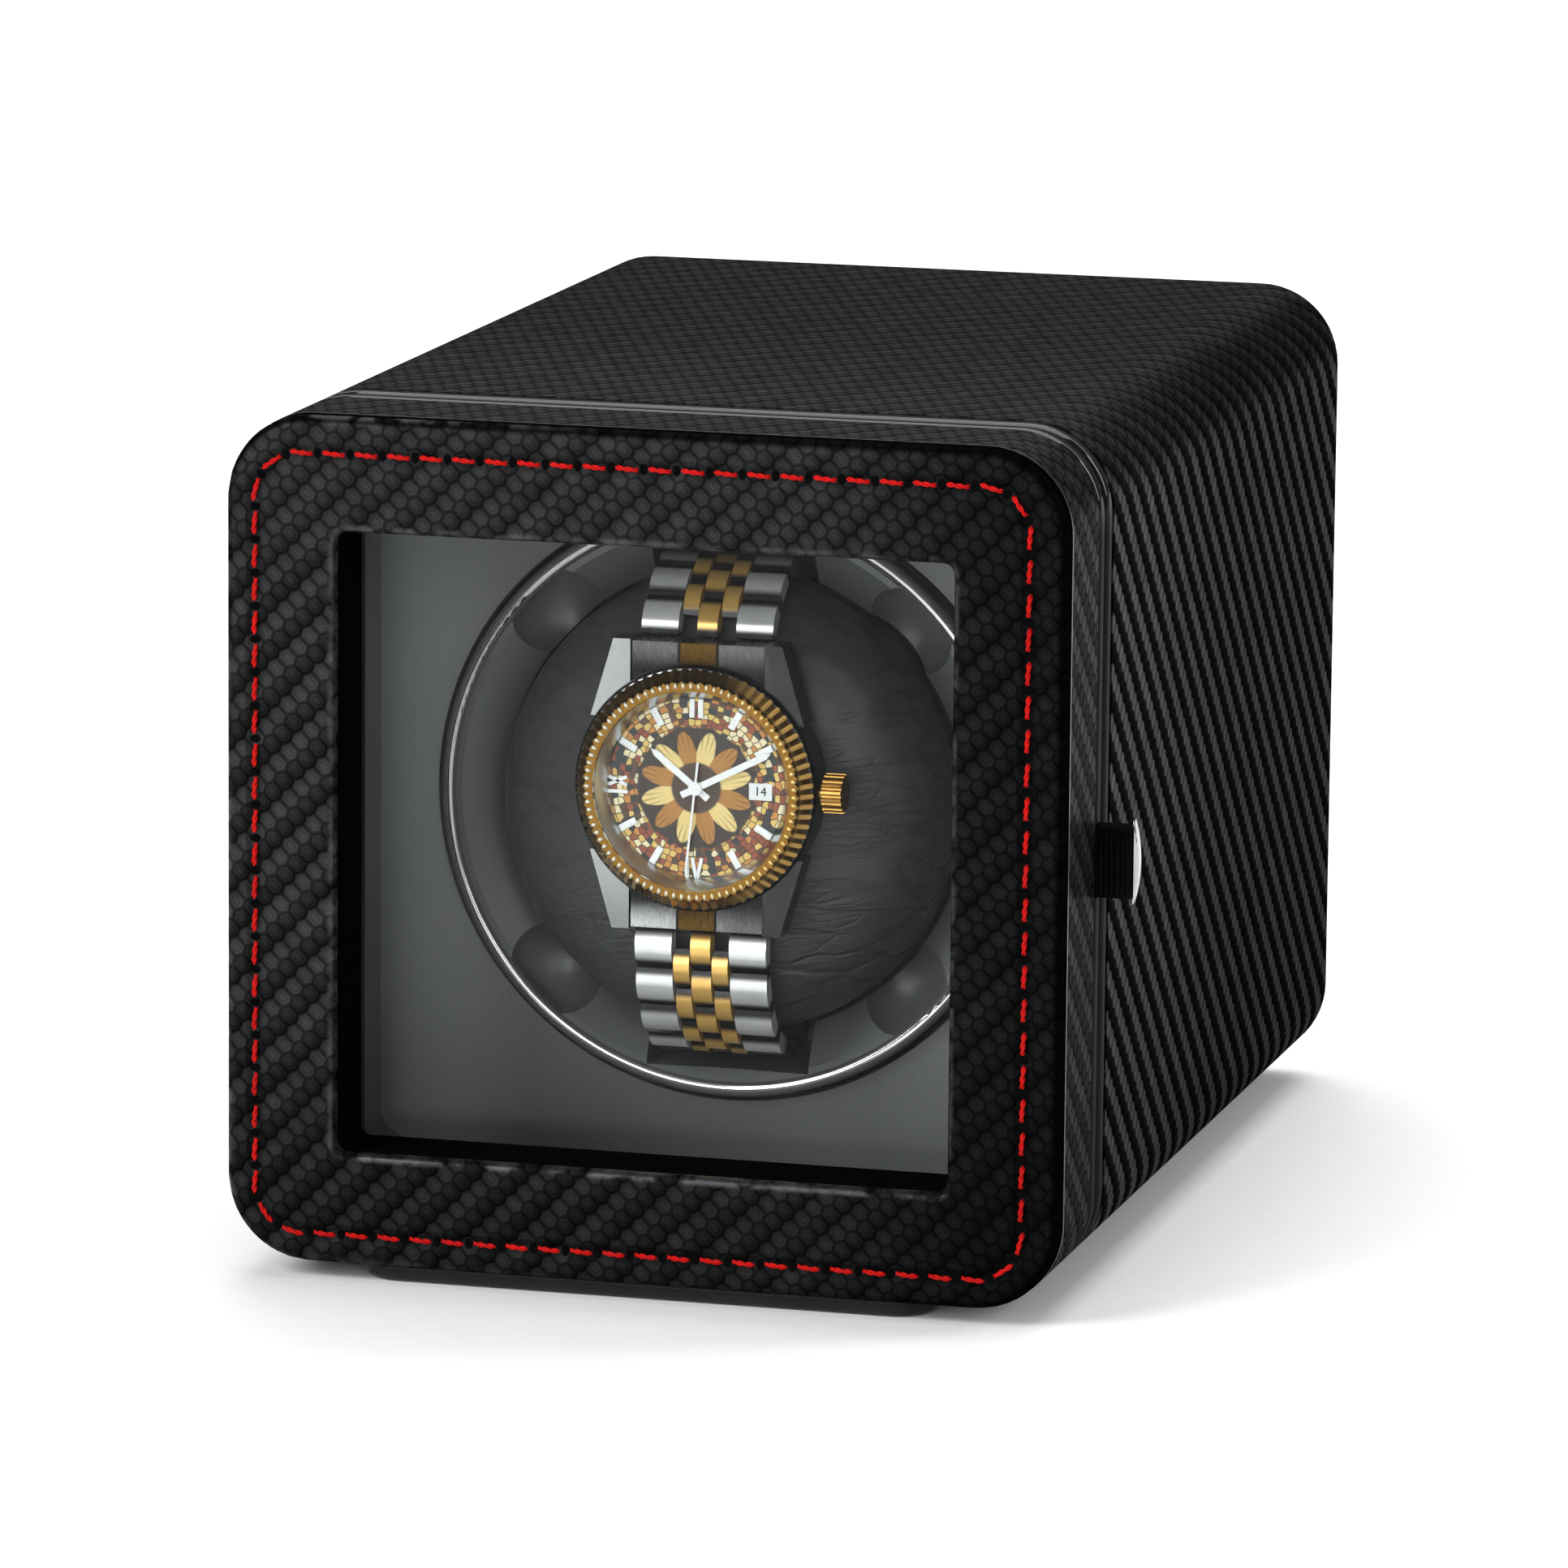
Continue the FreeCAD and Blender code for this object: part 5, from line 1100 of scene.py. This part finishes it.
# Painted light: the blocks are painted dark, lighter towards their outer ends, and brightest at the lower
# left.
end_painted_light = end_up.maths("ABSOLUTE").between(17 * millimetre, 21 * millimetre)
end_painted_light_below = 1 - end_up.between(-9 * millimetre, 9 * millimetre)
end_painted_light_left = 1 - end_place.part("X").between(-9 * millimetre, 8 * millimetre)
end_lines_and_painted_light = end_painted_light * (0.4 + 0.8 * end_lines)
end_grey = end_lines_and_painted_light.tint(grey(0.015), (end_painted_light_below * end_painted_light_left).tint(grey(0.12), grey(0.5)))
end_gilt = end_lines_and_painted_light.tint(dark_gilt, pale_gilt)
end_joint = 1 - (end_side - gilt_half).maths("ABSOLUTE").between(0.1 * millimetre, 0.3 * millimetre)
end_colour = end_side.between(gilt_half - 0.2 * millimetre, gilt_half).tint(end_gilt, end_grey)
end_joint.tint(end_colour, grey(0.01)).into(end_shader, "Base Color")
(0.2 + 0.15 * end_lines).into(end_shader, "Roughness")
dress(end_steel, "bracelet_end_links")

# Crown and bezel: turned in brass and gold-plated, the bezel with fine flutes cut round its slope. It is
# pressed on the case. The bezel is darker on its inner top and brighter on its slope, and the flutes at the
# right carry painted highlights and shade, less metallic there.
crown_dark = (0.3, 0.16, 0.035, 1)
crown_pale = (0.45, 0.26, 0.07, 1)
gold = polished_metal("gold_plate", crown_dark, crown_pale, rough=0.2)
dress(gold, "watch_crown")
bezel_shade = (0.24, 0.12, 0.02, 1)
bezel_glow = (0.85, 0.52, 0.16, 1)
flute_painted_shade = (0.02, 0.01, 0, 1)
flute_painted_highlight = (1.0, 0.6, 0.17, 1)
bezel_dull = (0.2, 0.1, 0.02, 1)
flute_count = 72
slope_foot = 16.2 * millimetre
slope_top = 16.8 * millimetre
bezel_low, bezel_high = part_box("watch_bezel")
bezel_middle = (bezel_low.z + bezel_high.z) / 2
bezel_gold, bezel_shader, bezel_place = finish("bezel_gold")
bezel_x = bezel_place.part("X")
bezel_wipe = bezel_place.noise(0.002, 3)
bezel_outer = off_axis(bezel_place, bezel_middle).between(slope_foot, slope_top)
bezel_plain = bezel_outer.tint(bezel_shade, bezel_glow)
# Painted highlights and shade on the flutes at the right.
bezel_painted_flash = bezel_x.between(4 * millimetre, 13 * millimetre) * bezel_outer
bezel_bearing = bezel_x.maths("ARCTAN2", bezel_place.part("Z") - bezel_middle)
bezel_crest = (bezel_bearing * flute_count).maths("COSINE").between(-0.3, 0.6)
bezel_tone = bezel_painted_flash.tint(bezel_plain, bezel_crest.tint(flute_painted_shade, flute_painted_highlight))
(1 - 0.8 * bezel_painted_flash).into(bezel_shader, "Metallic")
(0.35 * bezel_wipe).tint(bezel_tone, bezel_dull).into(bezel_shader, "Base Color")
(0.12 + 0.12 * bezel_wipe).into(bezel_shader, "Roughness")
dress(bezel_gold, "watch_bezel")

# Hands: stamped from thin brass, finished in white lacquer and pressed on their posts over the dial. They
# show ten past ten, as a watch on show does.
bright, bright_shader, bright_place = finish("white_lacquer", Specular_IOR_Level=0.6, Coat_Weight=0.2)
lacquer = bright_place.noise(0.0008, 2)
lacquer.tint(grey(0.74, 0.01), grey(0.9, 0.01)).into(bright_shader, "Base Color")
(0.22 + 0.12 * lacquer).into(bright_shader, "Roughness")
dress(bright, "watch_hands")

# Dial: a brass plate in coloured enamel under the hands, with a rosette of petals in cream and amber. Small
# tiles in amber, cream, rust and dark brown ring the rosette.
dial_low, dial_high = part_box("watch_dial")
dial_front = dial_low.y
dial_middle = (dial_low.z + dial_high.z) / 2
dial_radius = (dial_high.x - dial_low.x) / 2
petal_pairs = 6
petal_root = 0.38
petal_swell = 0.22
vein_count = 60
rosette_reach = 0.6
tiles_round = 11
tiles_out = 17
petal_amber = (0.42, 0.18, 0.03, 1)
petal_cream = (0.78, 0.58, 0.22, 1)
petal_vein = (0.1, 0.04, 0.01, 1)
petal_rim = (0.03, 0.015, 0.008, 1)
rosette_ground = (0.03, 0.018, 0.012, 1)
rosette_heart = (0.06, 0.03, 0.015, 1)
tile_joint = (0.02, 0.012, 0.008, 1)
enamel, enamel_shader, enamel_place = finish("enamel_dial", Coat_Weight=0.3, Specular_IOR_Level=0.4)
reach = off_axis(enamel_place, dial_middle) / dial_radius
bearing = enamel_place.part("X").maths("ARCTAN2", enamel_place.part("Z") - dial_middle)
petal_wave = (bearing * petal_pairs).maths("SINE")
petal_edge = petal_wave.maths("ABSOLUTE") * petal_swell + petal_root
petal = 1 - (reach - petal_edge).between(-0.015, 0.015)
petal_line = 1 - (reach - petal_edge).maths("ABSOLUTE").between(0.015, 0.04)
petal_fill = petal_wave.between(-0.05, 0.05)
around = bearing.node("CombineXYZ", {0: bearing * tiles_round, 1: reach * tiles_out, 2: 0.0})
tile_shape = {"Vector": around, "Scale": 1.0, "Randomness": 0.55}
tiles = around.node("TexVoronoi", tile_shape, output=1, voronoi_dimensions="2D")
tile_pick = tiles.node("SeparateColor", {0: tiles})
tile_line = around.node("TexVoronoi", tile_shape, feature="DISTANCE_TO_EDGE", voronoi_dimensions="2D")
# Each tile has a chance number, and a colour takes over where that number is above its share.
tile_colours = (
    (0.22, (0.70, 0.46, 0.12, 1)),
    (0.42, (0.02, 0.025, 0.025, 1)),
    (0.55, (0.80, 0.68, 0.42, 1)),
    (0.70, (0.10, 0.04, 0.02, 1)),
    (0.84, (0.55, 0.22, 0.04, 1)))
tile_colour = (0.28, 0.06, 0.02, 1)
for share, colour in tile_colours:
    tile_colour = tile_pick.maths("GREATER_THAN", share).tint(tile_colour, colour)
vein = (bearing * vein_count).maths("SINE").between(0.5, 0.9) * reach.between(0.3, 0.5)
petal_colour = (0.6 * vein).tint(petal_fill.tint(petal_amber, petal_cream), petal_vein)
ground = tile_line.between(0.03, 0.1).tint(tile_joint, tile_colour)
dark_ring = 1 - (reach - rosette_reach).between(-0.01, 0.02)
edged = dark_ring.tint(ground, rosette_ground)
flower = petal.tint(edged, petal_colour)
outlined = petal_line.tint(flower, petal_rim)
heart = 1 - reach.between(0.24, 0.27)
heart.tint(outlined, rosette_heart).into(enamel_shader, "Base Color")
(0.3 + 0.15 * enamel_place.noise(0.0008)).into(enamel_shader, "Roughness")
dress(enamel, "watch_dial")

# Hour marks: batons with bevelled edges and two Roman numerals built up from such bars, finished in white
# lacquer and pinned to the dial.
mark_height = 0.35 * millimetre
mark_bevel = 0.09 * millimetre
mark_ring = 0.80 * dial_radius


def baton(length, width):
    """A bar along Z with bevelled edges, standing on the dial."""
    mark = bar(width, mark_height, length, mark_bevel, segments=2)
    bpy.ops.transform.translate(value=(0, -mark_height / 2, 0))
    close_mesh()
    bpy.ops.object.shade_smooth_by_angle(angle=math.radians(40))
    return mark


def at_hour(hour, aside=0.0, lean=0.0):
    """The place of a mark on the dial, by its hour, its offset and its lean."""
    turn = Matrix.Rotation(hour * math.pi / 6, 4, "Y")
    shift = Matrix.Translation((aside, 0, mark_ring))
    return Matrix.Translation((0, dial_front, dial_middle)) @ turn @ shift @ Matrix.Rotation(lean, 4, "Y")


baton_length = 2.8 * millimetre
baton_width = 1.05 * millimetre
twin_width = 0.8 * millimetre
twin_aside = 0.65 * millimetre
numeral_height = 3.1 * millimetre
stroke = 0.55 * millimetre
slant = math.radians(24)
single_hours = (1, 2, 4, 5, 7, 8, 10, 11)
marks = copied(baton(baton_length, baton_width), [at_hour(hour) for hour in single_hours])
marks += copied(baton(baton_length, twin_width), [at_hour(12, -twin_aside), at_hour(12, twin_aside)])
numeral_places = [
    at_hour(6, aside=-0.65 * millimetre, lean=slant / 2),
    at_hour(6, aside=0.15 * millimetre, lean=-slant / 2),
    at_hour(6, aside=1.2 * millimetre),
    at_hour(9, aside=-1.1 * millimetre),
    at_hour(9, aside=0.5 * millimetre, lean=slant),
    at_hour(9, aside=0.5 * millimetre, lean=-slant)]
marks += copied(baton(numeral_height, stroke), numeral_places)
hour_marks = joined("dial_hour_marks", marks)
hour_marks.data.materials.append(bright)
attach(hour_marks, "pillow")

# Date: a small white plate with rounded edges at three o'clock, let into the dial, and plain figures printed
# on it in black.
date_out = 0.66 * dial_radius
date_middle = Vector((date_out, dial_front, dial_middle))
date_wide = 3.5 * millimetre
date_tall = 2.5 * millimetre
date_thick = 0.2 * millimetre
date_bevel = 0.06 * millimetre
date_plate = bar(date_wide, date_thick, date_tall, date_bevel, segments=2)
date_plate.name = "dial_date_plate"
bpy.ops.transform.translate(value=date_middle - Vector((0, date_thick / 2, 0)))
close_mesh()
date_white, date_white_shader, date_white_place = finish(
    "date_white", Specular_IOR_Level=0.3, Roughness=0.4)
date_white_place.noise(0.0006).tint(grey(0.72), grey(0.84)).into(date_white_shader, "Base Color")
date_plate.data.materials.append(date_white)
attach(date_plate, "pillow")

figure_height = 1.9 * millimetre
ink_thick = 0.02 * millimetre
ink_proud = 0.03 * millimetre
bpy.ops.object.select_all(action="DESELECT")
bpy.ops.object.text_add()
figures = bpy.context.object
figures.data.body = "14"
figures.data.size = figure_height
figures.data.align_x = "CENTER"
figures.data.align_y = "CENTER"
figures.data.extrude = ink_thick
bpy.ops.object.convert(target="MESH")
figures = bpy.context.object
figures.name = "dial_date_figures"
figures.rotation_euler = (math.pi / 2, 0, 0)
figures.location = date_middle - Vector((0, date_thick + ink_proud, 0))
bpy.ops.object.transform_apply(location=True, rotation=True, scale=True)
ink, ink_shader, ink_place = finish("black_ink", Specular_IOR_Level=0.2, Roughness=0.6)
ink_place.noise(0.0005).tint(grey(0.006), grey(0.02)).into(ink_shader, "Base Color")
figures.data.materials.append(ink)
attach(figures, "pillow")

# Bezel beads: a ring of small gold beads, rolled into the inner edge of the bezel's top. They are long ovals,
# with a painted highlight that makes them paler at the left.
oval_radius = 0.42 * millimetre
oval_stretch = (0.85, 0.85, 1.3)
oval_seat = 0.1 * millimetre
oval_ring = 15.75 * millimetre
oval_count = 84
cream_gold = (0.75, 0.68, 0.5, 1)
amber_gold = (0.8, 0.5, 0.14, 1)
bpy.ops.object.select_all(action="DESELECT")
bpy.ops.mesh.primitive_uv_sphere_add(segments=8, ring_count=6, radius=oval_radius,
                                     rotation=(math.pi / 2, 0, 0))
bpy.ops.object.transform_apply()
open_mesh()
bpy.ops.transform.resize(value=oval_stretch, center_override=(0, 0, 0))
bpy.ops.mesh.bisect(plane_co=(0, oval_seat, 0), plane_no=(0, 1, 0), use_fill=True, clear_outer=True)
close_mesh()
bpy.ops.object.shade_smooth()
oval_places = []
for i in range(oval_count):
    turn = Matrix.Rotation(2 * math.pi * i / oval_count, 4, "Y")
    spot = Matrix.Translation((0, bezel_low.y, dial_middle))
    oval_places.append(spot @ turn @ Matrix.Translation((0, 0, oval_ring)))
ovals = joined("bezel_beads", copied(bpy.context.object, oval_places))
oval_gold, oval_shader, oval_place = finish("bead_gold", Metallic=0.6)
oval_wipe = oval_place.noise(0.003, 2)
# Painted highlight: cream at the left, amber towards the right.
oval_painted_shade_right = oval_place.part("X").between(-6 * millimetre, 14 * millimetre)
(0.85 * oval_painted_shade_right + 0.15 * oval_wipe).tint(cream_gold, amber_gold).into(oval_shader, "Base Color")
(0.16 + 0.1 * oval_wipe).into(oval_shader, "Roughness")
ovals.data.materials.append(oval_gold)
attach(ovals, "pillow")

# Chapter ring: a thin ring of polished steel inside the bezel, turned to a slope that runs down to the dial.
# It is held between the crystal and the dial.
chapter_play = 0.05 * millimetre
chapter_drop = 0.75 * millimetre
chapter_wall = 0.12 * millimetre
chapter_share = 0.9
chapter_top = Vector((0, bezel_low.y + chapter_drop, dial_middle))
chapter_fall = dial_front - chapter_top.y - chapter_play
bpy.ops.object.select_all(action="DESELECT")
bpy.ops.mesh.primitive_circle_add(vertices=120, radius=dial_radius - chapter_play, location=chapter_top,
                                  rotation=(math.pi / 2, 0, 0))
bpy.ops.object.transform_apply()
open_mesh()
bpy.ops.mesh.extrude_region_move(TRANSFORM_OT_translate={"value": (0, chapter_fall, 0)})
bpy.ops.transform.resize(value=(chapter_share, 1, chapter_share), center_override=(0, 0, dial_middle))
bpy.ops.mesh.select_all(action="SELECT")
bpy.ops.mesh.normals_make_consistent(inside=True)
close_mesh()
chapter = bpy.context.object
chapter.name = "dial_chapter_ring"
keep(chapter, "SOLIDIFY", thickness=chapter_wall, offset=-1)
bpy.ops.object.shade_smooth_by_angle(angle=math.radians(40))
chapter_steel = polished_metal("watch_steel", grey(0.5), grey(0.7), rough=0.14)
chapter.data.materials.append(chapter_steel)
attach(chapter, "pillow")
